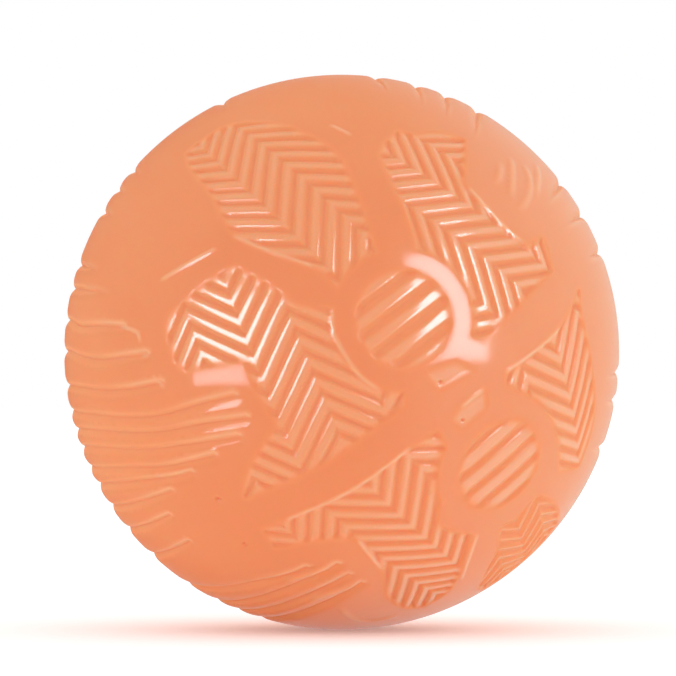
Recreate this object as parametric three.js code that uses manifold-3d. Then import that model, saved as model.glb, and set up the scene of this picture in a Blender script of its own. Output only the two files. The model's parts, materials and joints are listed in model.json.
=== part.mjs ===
// Textured sensory ball: a soft hollow ball moulded in two halves, with a plugged air valve.
// Millimetres, +Z up, origin at the centre of the ball. The patterned front looks along -Y, the
// halves meet in the plane Y = 0, and the valve is in the rear half.

import * as THREE from 'three';
import { mergeVertices } from 'three/addons/utils/BufferGeometryUtils.js';
import Module from 'manifold-3d';

const wasm = await Module();
wasm.setup();

// Ball and wall
const BALL_DIAMETER = 76;
const WALL = 3.6;
const BAND_FACETS = 9;
const AIR_FACETS = 5;

// Relief: how far the bands, ribs and scallops stand above the panel floors
const PANEL_DEPTH = 0.7;
const RIB_HEIGHT = 0.5;
const SCALLOP_HEIGHT = 0.55;
const CREASE_HEIGHT = 0.1;

// Seam between the halves: a bonded butt joint with a lip that laps inside it
const GLUE_GAP = 0.1;
const LIP_LENGTH = 2.2;
const LIP_THICKNESS = 1.3;
const LIP_CLEARANCE = 0.3;
const LIP_ROOT = 2.5;

// Air valve: its outer face lies this far below the bands
const VALVE_SINK = 1;
const FLANGE_RADIUS = 6.4;
const FLANGE_THICKNESS = 2.4;
const SLEEVE_RADIUS = 3.6;
const SLEEVE_BORE_RADIUS = 1.7;
const BARB_RADIUS = 4.7;
const BARB_LENGTH = 2.4;
const BARB_LAND = 0.8;
const BOSS_WALL = 2.9;
const BOSS_THICKNESS = 5.2;
const PLUG_HEAD_RADIUS = 4.2;
const PLUG_HEAD_THICKNESS = 1;
const PLUG_SHANK_RADIUS = 1.4;
const PLUG_SHANK_LENGTH = 10.5;
const PLUG_TIP_RADIUS = 0.7;
const NAIL_NOTCH_WIDTH = 3;
const VALVE_CLEARANCE = 0.3;
const ROUND_SIDES = 26;
const SEAM_SIDES = 52;

// The two rubbers
const SKIN_COLOUR = 0xee8e62;
const VALVE_COLOUR = 0xf3b08d;
const RUBBER_ROUGHNESS = 0.42;

// The pattern is laid out on a map of the front: degrees of arc right and up from the front pole.
const MEDALLION_RING = 14.5;
const MEDALLION_DISC = 10.2;
const MEDALLIONS = [
  { centre: [12.5, 6.7], ribAngle: 36, ribPitch: 4.2 },
  { centre: [35, -25], ribAngle: 37, ribPitch: 4.3 },
];
const VALVE_MEDALLION = MEDALLIONS[0];

// The long diagonal strap, and how far it reaches to each side of its middle line
const STRAP_HALF_WIDTH = 4;
const STRAP_LINE = [
  [-24, -37.5], [-14, -32.5], [0, -25], [12, -16], [20, -10.5], [35, 2], [49, 14], [86, 44],
];

// Herringbone panels: a rib bends at "corner", its corners follow "axis", and the ribs lean along
// the two "legs" in turn, in columns of width "column". Outlines run on beneath strap and rings.
const PANELS = [
  {
    outline: [
      [-23.3, 24.6], [-28.8, 35], [-36.7, 44.3], [-39, 50], [-30, 57], [-22, 56.5], [-13.3, 53.7],
      [-2, 45.3], [1.3, 39.3], [6.5, 22.5], [8, 17], [0.5, 11.5], [-5, 16.8], [-15, 20.5],
    ],
    corner: [-18.3, 33.5], axis: -44, column: 10.3, pitch: 4.74, legs: [90, 0],
  },
  {
    outline: [
      [9.5, 47], [8.3, 44], [9.8, 38.5], [13, 30], [15, 23], [15, 17], [22, 5], [34, 0.5], [50, 14],
      [48.5, 19.5], [47.5, 27.5], [42, 24], [35.5, 28.5], [27, 38], [28, 41], [30, 52], [22, 53],
      [17, 50.5], [13, 51.5],
    ],
    corner: [23, 25], axis: -36.5, column: 9.1, pitch: 4.35, legs: [10, -74],
  },
  {
    outline: [
      [-22.3, 18], [-30, 13.5], [-37, 8], [-38, 5], [-35.5, -2], [-33, -4], [-19.8, -2],
      [-17, -8.5], [-13, -14.5], [-16.5, -19.5], [-20, -25], [-21.3, -31], [-15, -32.5], [0, -24.5],
      [12, -15], [13, -8.5], [9, 0], [2, 8], [-3, 8.7], [-10, 9.8], [-13.5, 13],
    ],
    corner: [-17.4, -2.3], axis: -67, column: 9.6, pitch: 4.5, legs: [65, -20],
  },
  {
    outline: [
      [12, -17], [18, -13.5], [22, -20], [24, -29], [20.8, -33.5], [21.5, -38], [24, -40],
      [30.5, -42], [29.3, -55], [28, -63], [22, -68.5], [16, -67], [10.5, -60], [9.5, -50],
      [3.3, -40.3], [-6.5, -41], [-15, -44], [-17.5, -38.5], [-14, -33.5], [0, -25.5],
    ],
    corner: [15.5, -37.3], axis: -46, column: 10.2, pitch: 4.4, legs: [90, 0],
  },
  {
    outline: [
      [34.5, -6.5], [36, 0], [48, 11], [58, 19], [57.5, 9], [61, 0], [64, -11], [65.5, -19],
      [62, -30], [53.5, -29.5], [52, -24], [50, -18.5], [47, -14], [43, -10.5], [38.5, -8.5],
    ],
    corner: [54.3, -9.5], axis: -65, column: 11, pitch: 4.8, legs: [73, -25],
  },
];

// Small plain pockets either side of the strap
const POCKETS = [
  [[17, -6], [20, -9], [26, -4.5], [22.5, -1.5]],
  [[21.5, -15.5], [25, -17], [32, -12], [32, -6], [25.5, -11]],
];

// Fans of scalloped ribs: the creases between the ribs, each from its inner end to the far rim
const FANS = [
  [
    [[-33.8, 63.6], [-45, 85]], [[-41.3, 59], [-55, 79]], [[-48.2, 53.5], [-64, 71]],
    [[-54.3, 47.2], [-72, 63]], [[-59.7, 40.3], [-80, 54]], [[-62, 31.6], [-86, 44]],
    [[-60, 21.8], [-90, 33]], [[-55, 13.8], [-93, 22]], [[-46, 5.5], [-95, 11]],
    [[-43, -0.5], [-96, 0]], [[-39, -6.8], [-95, -11]], [[-24, -9.5], [-94, -19]],
    [[-19.5, -13.5], [-92, -26.5]], [[-21.5, -17.5], [-90, -33]], [[-27, -22], [-88, -38.5]],
    [[-33, -26.5], [-85, -45]], [[-39, -32], [-81, -52]], [[-41, -39], [-75, -60]],
    [[-37, -46], [-67, -69]], [[-8.5, -48.3], [-58, -76.7]], [[-1.5, -47], [-48, -83]],
    [[1, -50.5], [-42, -87]], [[4, -53.5], [-34, -90]],
  ],
  [
    [[33.5, 45], [41, 87]], [[36.3, 38.6], [51, 82]], [[39.2, 35.3], [60.5, 75]],
    [[40.6, 32], [69, 68]], [[51, 31], [76, 59]],
  ],
  [
    [[65, 21], [92, 28]], [[64, 12], [94, 18]], [[67, 4], [96, 6]], [[69, -4], [96, -6]],
    [[70, -12], [94, -17]], [[70, -20], [92, -28]], [[67, -27], [88, -38]],
  ],
];

// Profiles across one rib: [place in the pitch, share of the height]
const RIB_PROFILE = [[0, 1], [0.5, 0]];
const SCALLOP_PROFILE = [[0, 0], [0.26, 0.9], [0.74, 0.9]];

// Along a scallop: degrees to a step, and the shares of its length at its blunt inner end and far end
const SCALLOP_STEP = 12.5;
const BLUNT_END = 0.06;
const FAR_END = 1.05;

// A fan's filling runs on past its first and last creases by this share of a rib
const FAN_MARGIN = 0.25;

// Pockets and fillings overlap by this many degrees, hidden in the bands, to join soundly
const JOIN_OVERLAP = 1.8;

const bandRadius = BALL_DIAMETER / 2;
const floorRadius = bandRadius - PANEL_DEPTH;
const airRadius = floorRadius - WALL;
const coreRadius = airRadius / 2;
const fillingBase = airRadius - WALL;
const outsideRadius = BALL_DIAMETER * 2;
const coverInner = coreRadius / 2;
const coverOuter = outsideRadius * 2;
const valveFace = bandRadius - VALVE_SINK;

const rad = THREE.MathUtils.degToRad;

// A point of the map, set on a sphere about the ball's centre
function onBall([right, up], radius) {
  const away = Math.hypot(right, up);
  const spread = away > 0 ? Math.sin(rad(away)) / away : 0;
  return new THREE.Vector3(right * spread, -Math.cos(rad(away)), up * spread).multiplyScalar(radius);
}

function meshGeometry(points, triangles) {
  const geometry = new THREE.BufferGeometry();
  geometry.setAttribute('position', new THREE.Float32BufferAttribute(points.flatMap((p) => p.toArray()), 3));
  geometry.setIndex(triangles.flat());
  return geometry;
}

function solidOf(geometry) {
  const bare = geometry.clone();
  bare.deleteAttribute('normal');
  bare.deleteAttribute('uv');
  const welded = mergeVertices(bare);
  return new wasm.Manifold(new wasm.Mesh({
    numProp: 3,
    vertProperties: new Float32Array(welded.getAttribute('position').array),
    triVerts: new Uint32Array(welded.getIndex().array),
  }));
}

function geometryOf(solid) {
  const mesh = solid.getMesh();
  const geometry = new THREE.BufferGeometry();
  geometry.setAttribute('position', new THREE.BufferAttribute(new Float32Array(mesh.vertProperties), 3));
  geometry.setIndex(new THREE.BufferAttribute(new Uint32Array(mesh.triVerts), 1));
  return geometry;
}

// The solid that an outline on the map sweeps out between two radii
function radialPrism(outline, inner, outer) {
  const loop = outline.map(([right, up]) => new THREE.Vector2(right, up));
  if (THREE.ShapeUtils.isClockWise(loop)) loop.reverse();
  const count = loop.length;
  const points = [inner, outer].flatMap((radius) => loop.map(({ x, y }) => onBall([x, y], radius)));
  const triangles = [];
  for (const [a, b, c] of THREE.ShapeUtils.triangulateShape(loop, [])) {
    triangles.push([a + count, b + count, c + count], [c, b, a]);
  }
  for (let i = 0; i < count; i += 1) {
    const next = (i + 1) % count;
    triangles.push([i, next, next + count], [i, next + count, i + count]);
  }
  return solidOf(meshGeometry(points, triangles));
}

// A slab that covers a grid of map points, each with its own top radius, down to one base radius
function slab(rows, base) {
  const [p, q, r] = [rows[0][0].at, rows[1][0].at, rows[0][1].at];
  const turn = (q[0] - p[0]) * (r[1] - p[1]) - (q[1] - p[1]) * (r[0] - p[0]);
  const grid = turn > 0 ? rows : rows.slice().reverse();
  const width = grid[0].length;
  const size = grid.length * width;
  const cells = grid.flat();
  const points = [
    ...cells.map(({ at, top }) => onBall(at, top)),
    ...cells.map(({ at }) => onBall(at, base)),
  ];
  const triangles = [];
  const quad = (a, b, c, d) => triangles.push([a, b, c], [a, c, d]);
  for (let i = 0; i + 1 < grid.length; i += 1) {
    for (let j = 0; j + 1 < width; j += 1) {
      const here = i * width + j;
      quad(here, here + width, here + width + 1, here + 1);
      quad(here + size + 1, here + size + width + 1, here + size + width, here + size);
    }
    const first = i * width;
    const last = first + width - 1;
    quad(first, first + size, first + size + width, first + width);
    quad(last + width, last + width + size, last + size, last);
  }
  for (let j = 0; j + 1 < width; j += 1) {
    const far = size - width + j;
    quad(j + 1, j + 1 + size, j + size, j);
    quad(far, far + size, far + size + 1, far + 1);
  }
  return solidOf(meshGeometry(points, triangles));
}

// An outline moved outwards on the map, corner by corner
function grown(outline, amount) {
  const loop = outline.map(([right, up]) => new THREE.Vector2(right, up));
  const side = THREE.ShapeUtils.isClockWise(loop) ? -1 : 1;
  return loop.map((point, i) => {
    const before = loop[(i + loop.length - 1) % loop.length];
    const after = loop[(i + 1) % loop.length];
    const run = point.clone().sub(before).normalize().add(after.clone().sub(point).normalize()).normalize();
    return [point.x + side * run.y * amount, point.y - side * run.x * amount];
  });
}

// A round cone about a map point, between two radii, out to an angle from the point
function roundCone(centre, angle, inner, outer) {
  const slope = Math.tan(rad(angle));
  const cone = new THREE.CylinderGeometry(outer * slope, inner * slope, outer - inner, ROUND_SIDES);
  cone.translate(0, (outer + inner) / 2, 0);
  const turn = new THREE.Quaternion().setFromUnitVectors(new THREE.Vector3(0, 1, 0), onBall(centre, 1));
  return solidOf(cone.applyQuaternion(turn));
}

// The strap as an outline: along one side of its middle line and back along the other
function strapOutline() {
  const side = (reach) => STRAP_LINE.map((point, i) => {
    const before = STRAP_LINE[Math.max(i - 1, 0)];
    const after = STRAP_LINE[Math.min(i + 1, STRAP_LINE.length - 1)];
    const run = new THREE.Vector2(after[0] - before[0], after[1] - before[1]).normalize();
    return [point[0] - run.y * reach, point[1] + run.x * reach];
  });
  return [...side(-STRAP_HALF_WIDTH), ...side(STRAP_HALF_WIDTH).reverse()];
}

// Ribs that bend at each column's edge, covering an outline
function herringboneSlab({ outline, corner, axis, column, pitch, legs }) {
  const along = [Math.cos(rad(axis)), Math.sin(rad(axis))];
  const across = [-along[1], along[0]];
  const lean = legs.map((leg) => 1 / Math.tan(rad(leg - axis)));
  const bend = (columns) => {
    const whole = Math.floor(columns);
    const odd = whole - 2 * Math.floor(whole / 2);
    const pairs = (whole - odd) / 2;
    return pairs * (lean[0] + lean[1]) + odd * lean[0] + (columns - whole) * lean[odd];
  };
  const places = outline.map(([right, up]) => {
    const step = [right - corner[0], up - corner[1]];
    const columns = (step[0] * across[0] + step[1] * across[1]) / column;
    const ribs = (step[0] * along[0] + step[1] * along[1] - bend(columns) * column) / pitch;
    return { columns, ribs };
  });
  const margin = Math.ceil(column / pitch);
  const range = (key, extra) => {
    const values = places.map((place) => place[key]);
    return [Math.floor(Math.min(...values)) - extra, Math.ceil(Math.max(...values)) + extra];
  };
  const [firstRib, lastRib] = range('ribs', margin);
  const [firstColumn, lastColumn] = range('columns', 1);
  const rows = [];
  for (let rib = firstRib; rib <= lastRib; rib += 1) {
    for (const [place, height] of RIB_PROFILE) {
      const row = [];
      for (let half = 2 * firstColumn; half <= 2 * lastColumn; half += 1) {
        const a = (rib + place) * pitch + bend(half / 2) * column;
        const c = (half * column) / 2;
        const at = [corner[0] + along[0] * a + across[0] * c, corner[1] + along[1] * a + across[1] * c];
        row.push({ at, top: floorRadius + RIB_HEIGHT * height });
      }
      rows.push(row);
    }
  }
  return slab(rows, fillingBase);
}

// Scalloped ribs between neighbouring creases, as rows that run from the blunt end to the far end
function scallopRows(creases) {
  const longest = Math.max(...creases.map(([from, to]) => Math.hypot(to[0] - from[0], to[1] - from[1])));
  const steps = Math.ceil(longest / SCALLOP_STEP);
  const stations = [-BLUNT_END, 0];
  for (let i = 0; i <= steps; i += 1) stations.push(BLUNT_END + ((FAR_END - BLUNT_END) * i) / steps);
  const lerp = (p, q, t) => [p[0] + (q[0] - p[0]) * t, p[1] + (q[1] - p[1]) * t];
  const row = (from, to, share, height) => stations.map((t) => {
    const rise = t > 0 ? height : 1;
    const at = lerp(lerp(from[0], from[1], t), lerp(to[0], to[1], t), share);
    return { at, top: floorRadius + CREASE_HEIGHT + (SCALLOP_HEIGHT - CREASE_HEIGHT) * rise };
  });
  const last = creases.length - 1;
  const rows = [row(creases[0], creases[1], -FAN_MARGIN, 1)];
  for (let i = 0; i < last; i += 1) {
    for (const [share, height] of SCALLOP_PROFILE) rows.push(row(creases[i], creases[i + 1], share, height));
  }
  rows.push(row(creases[last - 1], creases[last], 1, 0));
  rows.push(row(creases[last - 1], creases[last], 1 + FAN_MARGIN, 1));
  return rows;
}

// The half ball with its relief, solid inside: bands at full height, pockets cut and then filled
function reliefHalf() {
  const strap = radialPrism(strapOutline(), coverInner, coverOuter);
  const rings = MEDALLIONS.map(({ centre }) => roundCone(centre, MEDALLION_RING, coverInner, coverOuter));
  let skin = solidOf(new THREE.IcosahedronGeometry(bandRadius, BAND_FACETS));
  const fillings = [];
  for (const panel of PANELS) {
    let pocket = radialPrism(panel.outline, coreRadius, outsideRadius);
    for (const cover of [strap, ...rings]) pocket = pocket.subtract(cover);
    skin = skin.subtract(pocket);
    const reach = radialPrism(grown(panel.outline, JOIN_OVERLAP), coreRadius, outsideRadius);
    fillings.push(herringboneSlab(panel).intersect(reach));
  }
  for (const { centre, ribAngle, ribPitch } of MEDALLIONS) {
    skin = skin.subtract(roundCone(centre, MEDALLION_DISC, coreRadius, outsideRadius));
    const reach = MEDALLION_DISC + JOIN_OVERLAP;
    const square = [[-1, -1], [1, -1], [1, 1], [-1, 1]];
    const ribs = herringboneSlab({
      outline: square.map(([i, j]) => [centre[0] + i * reach, centre[1] + j * reach]),
      corner: centre,
      axis: ribAngle - 90,
      column: MEDALLION_RING,
      pitch: ribPitch,
      legs: [ribAngle, ribAngle],
    });
    fillings.push(ribs.intersect(roundCone(centre, reach, coreRadius, outsideRadius)));
  }
  for (const creases of FANS) {
    const inner = creases.map(([from]) => from);
    const outer = creases.map(([, to]) => to).reverse();
    skin = skin.subtract(radialPrism([...inner, ...outer], coreRadius, coverOuter));
    fillings.push(slab(scallopRows(creases), fillingBase));
  }
  for (const outline of POCKETS) {
    let pocket = radialPrism(outline, floorRadius, outsideRadius);
    for (const cover of [strap, ...rings]) pocket = pocket.subtract(cover);
    skin = skin.subtract(pocket);
  }
  for (const filling of fillings) skin = skin.add(filling);
  const front = new THREE.BoxGeometry(outsideRadius, outsideRadius, outsideRadius);
  front.translate(0, -outsideRadius / 2 - GLUE_GAP / 2, 0);
  const hollow = solidOf(new THREE.IcosahedronGeometry(airRadius, AIR_FACETS));
  return skin.subtract(hollow).intersect(solidOf(front));
}

// The same relief on the other side of the seam
function mirrored(solid) {
  const geometry = geometryOf(solid);
  geometry.scale(1, -1, 1);
  const index = geometry.getIndex();
  for (let i = 0; i < index.count; i += 3) {
    const keep = index.getX(i);
    index.setX(i, index.getX(i + 1));
    index.setX(i + 1, keep);
  }
  return solidOf(geometry);
}

// A piece turned about the Y axis, from [radius, Y] points
function turned(profile, sides) {
  return new THREE.LatheGeometry(profile.map(([radius, y]) => new THREE.Vector2(radius, y)), sides);
}

// A turned ring: its points run round its section and close on themselves
const turnedRing = (profile, sides) => turned([...profile, profile[0]], sides);

const lipOuter = airRadius + LIP_THICKNESS;
const relief = reliefHalf();

function frontShell() {
  const reach = lipOuter + LIP_CLEARANCE;
  const depth = LIP_LENGTH + LIP_CLEARANCE;
  const rebate = new THREE.CylinderGeometry(reach, reach, depth * 2, SEAM_SIDES);
  return geometryOf(relief.subtract(solidOf(rebate)));
}

// Valve pieces are turned about +Y with the ball's centre at the origin, then laid on the valve axis
const valveAxis = onBall(VALVE_MEDALLION.centre, 1).multiply(new THREE.Vector3(1, -1, 1));
const valveTurn = new THREE.Quaternion().setFromUnitVectors(new THREE.Vector3(0, 1, 0), valveAxis);
const seatHeight = valveFace - FLANGE_THICKNESS - VALVE_CLEARANCE;
const bossRadius = SLEEVE_RADIUS + VALVE_CLEARANCE + BOSS_WALL;
const bossBottom = seatHeight - BOSS_THICKNESS;

function rearShell() {
  const lip = turnedRing([
    [airRadius, -LIP_LENGTH], [lipOuter, -LIP_LENGTH], [lipOuter, LIP_ROOT], [airRadius, LIP_ROOT],
  ], SEAM_SIDES);
  const onAxis = (geometry) => solidOf(geometry.applyQuaternion(valveTurn));
  const drum = (radius, bottom, top) => {
    const geometry = new THREE.CylinderGeometry(radius, radius, top - bottom, ROUND_SIDES);
    return onAxis(geometry.translate(0, (top + bottom) / 2, 0));
  };
  const seatRadius = FLANGE_RADIUS + VALVE_CLEARANCE;
  const bore = SLEEVE_RADIUS + VALVE_CLEARANCE;
  const shell = mirrored(relief).add(solidOf(lip))
    .add(drum(bossRadius, bossBottom, seatHeight))
    .subtract(drum(seatRadius, seatHeight, outsideRadius))
    .subtract(drum(bore, coreRadius, outsideRadius));
  return geometryOf(shell);
}

function valveSleeve() {
  const flangeBottom = valveFace - FLANGE_THICKNESS;
  const headSeat = valveFace - PLUG_HEAD_THICKNESS - VALVE_CLEARANCE;
  const barbTop = bossBottom - VALVE_CLEARANCE;
  const barbBottom = barbTop - BARB_LENGTH;
  const recess = PLUG_HEAD_RADIUS + VALVE_CLEARANCE;
  const body = solidOf(turnedRing([
    [SLEEVE_BORE_RADIUS, barbBottom], [SLEEVE_RADIUS, barbBottom], [BARB_RADIUS, barbTop - BARB_LAND],
    [BARB_RADIUS, barbTop], [SLEEVE_RADIUS, barbTop], [SLEEVE_RADIUS, flangeBottom],
    [FLANGE_RADIUS, flangeBottom], [FLANGE_RADIUS, valveFace], [recess, valveFace],
    [recess, headSeat], [SLEEVE_BORE_RADIUS, headSeat],
  ], ROUND_SIDES));
  const notchReach = (recess + FLANGE_RADIUS) / 2;
  const notch = new THREE.BoxGeometry(notchReach, PLUG_HEAD_THICKNESS + VALVE_CLEARANCE, NAIL_NOTCH_WIDTH);
  notch.translate(notchReach / 2, valveFace + VALVE_CLEARANCE - PLUG_HEAD_THICKNESS / 2, 0);
  return geometryOf(body.subtract(solidOf(notch)));
}

function valvePlug() {
  const headBottom = valveFace - PLUG_HEAD_THICKNESS;
  const tip = headBottom - PLUG_SHANK_LENGTH;
  return turned([
    [0, tip], [PLUG_TIP_RADIUS, tip], [PLUG_SHANK_RADIUS, tip + PLUG_SHANK_RADIUS],
    [PLUG_SHANK_RADIUS, headBottom], [PLUG_HEAD_RADIUS, headBottom], [PLUG_HEAD_RADIUS, valveFace],
    [0, valveFace],
  ], ROUND_SIDES);
}

function piece(name, geometry, colour) {
  const rubber = { color: colour, roughness: RUBBER_ROUGHNESS, metalness: 0 };
  const mesh = new THREE.Mesh(geometry, new THREE.MeshStandardMaterial(rubber));
  mesh.name = name;
  return mesh;
}

const valve = new THREE.Group();
valve.quaternion.copy(valveTurn);
valve.add(piece('valve_sleeve', valveSleeve(), VALVE_COLOUR), piece('valve_plug', valvePlug(), VALVE_COLOUR));

const ball = new THREE.Group();
ball.add(piece('front_shell', frontShell(), SKIN_COLOUR), piece('rear_shell', rearShell(), SKIN_COLOUR));
ball.add(valve);

export default ball;
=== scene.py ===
"""Textured sensory ball: two moulded skins of soft coral rubber, an air valve and a plain stage."""

import json
import math

import bpy
import numpy as np
from bpy.props import FloatProperty, FloatVectorProperty, IntProperty, PointerProperty
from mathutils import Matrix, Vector
from mathutils.geometry import delaunay_2d_cdt


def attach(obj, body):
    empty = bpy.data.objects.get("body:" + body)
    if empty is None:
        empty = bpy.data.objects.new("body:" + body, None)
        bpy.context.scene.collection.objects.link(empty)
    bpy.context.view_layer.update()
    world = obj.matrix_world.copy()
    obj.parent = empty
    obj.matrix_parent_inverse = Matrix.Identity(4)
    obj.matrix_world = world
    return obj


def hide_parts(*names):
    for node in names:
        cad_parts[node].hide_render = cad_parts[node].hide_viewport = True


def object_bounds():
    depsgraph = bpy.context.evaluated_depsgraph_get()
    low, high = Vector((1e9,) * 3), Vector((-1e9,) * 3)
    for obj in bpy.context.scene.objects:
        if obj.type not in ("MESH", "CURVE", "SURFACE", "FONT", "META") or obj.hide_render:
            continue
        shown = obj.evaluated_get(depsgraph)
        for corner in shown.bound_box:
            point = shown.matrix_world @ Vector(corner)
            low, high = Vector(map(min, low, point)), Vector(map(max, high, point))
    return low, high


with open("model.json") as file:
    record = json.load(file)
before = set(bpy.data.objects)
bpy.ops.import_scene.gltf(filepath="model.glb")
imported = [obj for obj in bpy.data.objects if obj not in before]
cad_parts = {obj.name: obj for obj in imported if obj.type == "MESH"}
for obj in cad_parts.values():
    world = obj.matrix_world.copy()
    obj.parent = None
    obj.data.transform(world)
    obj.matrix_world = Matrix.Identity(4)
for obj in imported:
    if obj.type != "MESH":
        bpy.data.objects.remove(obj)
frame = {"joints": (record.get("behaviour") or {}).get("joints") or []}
CAD_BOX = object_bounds()

bl_info = {
    "name": "Textured Sensory Ball",
    "version": (1, 0, 0),
    "blender": (4, 5, 0),
    "location": "View3D > Sidebar > Sensory Ball",
    "description": "Moulds a soft rubber ball with bands, herringbone panels, scallops and an air valve",
    "category": "Add Mesh",
}

# Sizes are in metres. The pattern is laid out on a map: degrees of arc right and up from the front pole.
MM = 0.001
BALL_RADIUS = max((high - low) / 2 for low, high in zip(*CAD_BOX))
FLOOR_HEIGHT = CAD_BOX[0].z
VALVE_AXIS = Vector(frame["joints"][0]["axis"]).normalized()

# Seam and wall
AIR_RADIUS = BALL_RADIUS - 4.3 * MM
GLUE_GAP = 0.1 * MM
LIP_LENGTH = 2.2 * MM
LIP_THICKNESS = 1.3 * MM
LIP_CLEARANCE = 0.3 * MM
PARTING_WIDTH = 0.7

# Medallions: a raised ring round a sunk ribbed disc
MEDALLION_RING = 14.5
MEDALLION_DISC = 9.8
MEDALLIONS = [
    {"centre": (12.5, 6.7), "rib_angle": 37.3, "pitch": 4.43, "rib_shift": -0.1, "boldness": 0.0},
    {"centre": (35, -25), "rib_angle": 37.5, "pitch": 4.47, "rib_shift": 2.6, "boldness": 0.15},
]

# The long diagonal strap
STRAP_HALF_WIDTH = 4
STRAP_LINE = [(-24, -37.5), (-14, -32.5), (0, -25), (12, -16), (20, -10.5), (35, 2), (49, 14), (86, 44)]

# Herringbone panels: a rib bends at "corner", its corners follow "axis", and the ribs lean along the two
# "legs" in turn, in columns of width "column". Outlines run on beneath strap and rings. "boldness" widens
# the ribs' tops, or below 0 flattens the ribs.
PANELS = [
    {
        "outline": [
            (-23.3, 24.6), (-28.8, 35), (-36.7, 44.3), (-39, 50), (-30, 57), (-22, 56.5), (-13.3, 53.7),
            (-2, 45.3), (1.3, 39.3), (6.5, 22.5), (8, 17), (0.5, 11.5), (-5, 16.8), (-15, 20.5),
        ],
        "corner": (-18.5, 33.5), "axis": -46.4, "column": 10.1, "pitch": 4.67, "legs": (88.5, -3.5),
    },
    {
        "outline": [
            (9.5, 47), (8.3, 44), (9.8, 38.5), (13, 30), (15, 23), (15, 17), (22, 5), (34, 0.5), (50, 14),
            (48.5, 19.5), (47.5, 27.5), (42, 24), (35.5, 28.5), (27, 38), (28, 41), (30, 52), (22, 53),
            (17, 50.5), (13, 51.5),
        ],
        "corner": (23.4, 24.9), "axis": -34.4, "column": 8.8, "pitch": 4.49, "legs": (11.5, -75.2),
    },
    {
        "outline": [
            (-22.3, 18), (-30, 13.5), (-37, 8), (-38, 5), (-35.5, -2), (-33, -4), (-19.8, -2),
            (-17, -8.5), (-13, -14.5), (-16.5, -19.5), (-20, -25), (-21.3, -31), (-15, -32.5),
            (0, -24.5), (12, -15), (13, -8.5), (9, 0), (2, 8), (-3, 8.7), (-10, 9.8), (-13.5, 13),
        ],
        "corner": (-17.4, -2.1), "axis": -67.8, "column": 10.2, "pitch": 4.41, "legs": (64.7, -23.6),
        "boldness": 0.1,
    },
    {
        "outline": [
            (12, -17), (18, -13.5), (22, -20), (24, -29), (20.8, -33.5), (21.5, -38), (24, -40),
            (30.5, -42), (29.3, -55), (28, -63), (22, -68.5), (16, -67), (10.5, -60), (9.5, -50),
            (3.3, -40.3), (-6.5, -41), (-15, -44), (-17.5, -38.5), (-14, -33.5), (0, -25.5),
        ],
        "corner": (15.3, -37.9), "axis": -47.1, "column": 10.2, "pitch": 4.25, "legs": (85, -2.7),
    },
    {
        "outline": [
            (34.5, -6.5), (34.8, -4.5), (45.6, 2.3), (52.5, 8), (58, 16), (57.5, 9), (61, 0), (64, -11),
            (65.5, -19), (62, -30), (53.5, -29.5), (52, -24), (50, -18.5), (47, -14), (43, -10.5),
            (38.5, -8.5),
        ],
        "corner": (53.8, -10.5), "axis": -66.1, "column": 10.3, "pitch": 4.82, "legs": (73.6, -20.1),
    },
    {
        "outline": [
            (37.7, -42.3), (39.4, -40.9), (41.7, -40.6), (45.2, -36.2), (47.7, -34.7), (52.1, -37.1),
            (57.7, -41.6), (63, -50), (59, -58), (51, -65.5), (42.5, -70.5), (38.1, -66.4), (37.4, -56.4),
            (39.1, -49.3),
        ],
        "corner": (44, -44), "axis": -59, "column": 7.5, "pitch": 4.5, "legs": (76, -14),
        "boldness": -0.6,
    },
]

# Small plain facets either side of the strap
POCKETS = [
    [(16.8, -4), (23.2, -1.6), (27.6, -3.7), (19.4, -8)],
    [(22.3, -13.9), (23.9, -11.6), (29.9, -7.2), (30.6, -11.8), (24.8, -16.4)],
]

# Creases between the scallops, each from its blunt inner end out past the rim
CREASES = [
    [(-50, 5.7), (-60, 6.5), (-70, 7), (-80, 9.5), (-95, 11)],
    [(-43, -0.5), (-50, -1.2), (-60, -1.8), (-70, -0.8), (-80, 0.5), (-96, 0)],
    [(-39, -6.8), (-50, -8.6), (-60, -9.3), (-75, -9.5), (-95, -11)],
    [(-22, -9), (-30, -11), (-40, -14), (-50, -15.2), (-65, -16.2), (-94, -19)],
    [(-19.5, -13.5), (-30, -15.3), (-40, -17.7), (-50, -18.9), (-60, -19.8), (-75, -22), (-92, -26.5)],
    [(-21.5, -17.5), (-40, -21.5), (-50, -23.1), (-60, -24.4), (-75, -27.5), (-90, -33)],
    [(-27, -22), (-40, -26), (-50, -27.8), (-65, -31.5), (-88, -38.5)],
    [(-33, -26.5), (-38, -28.3), (-50, -31.5), (-65, -36.5), (-85, -45)],
    [(-39, -32), (-81, -52)], [(-41, -39), (-75, -60)], [(-37, -46), (-67, -69)],
    [(-8, -49.2), (-57.5, -77.6)], [(-1, -47.9), (-47.5, -83.9)], [(1.5, -51.4), (-41.5, -87.9)],
    [(4.5, -54.4), (-33.5, -90.9)],
]

# Creases that only show near the rim and fade out inwards
NOTCHES = [
    [(-31, 65), (-41.4, 86.8)], [(-54.3, 47.2), (-72, 63)], [(-58.2, 42.3), (-78.1, 56.7)],
    [(-60, 35.3), (-83.2, 49)], [(-60.5, 20.2), (-90.9, 30.4)], [(-55, 13.8), (-93, 22)],
    [(11.8, 67), (10.2, 95.5)], [(20.4, 62.8), (24.7, 92.8)], [(26, 58.5), (35.2, 89.3)],
    [(32.4, 52.9), (46.2, 84.1)], [(50.6, 37.1), (75.9, 58.8)], [(55.6, 31.7), (83.6, 47.3)],
    [(62.5, 24), (89.6, 34.4)], [(70, -6), (95.8, -6.7)], [(70, -13), (94.6, -16.2)],
    [(66, -25), (90.2, -32.8)],
]
NOTCH_FADE = 16

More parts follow.
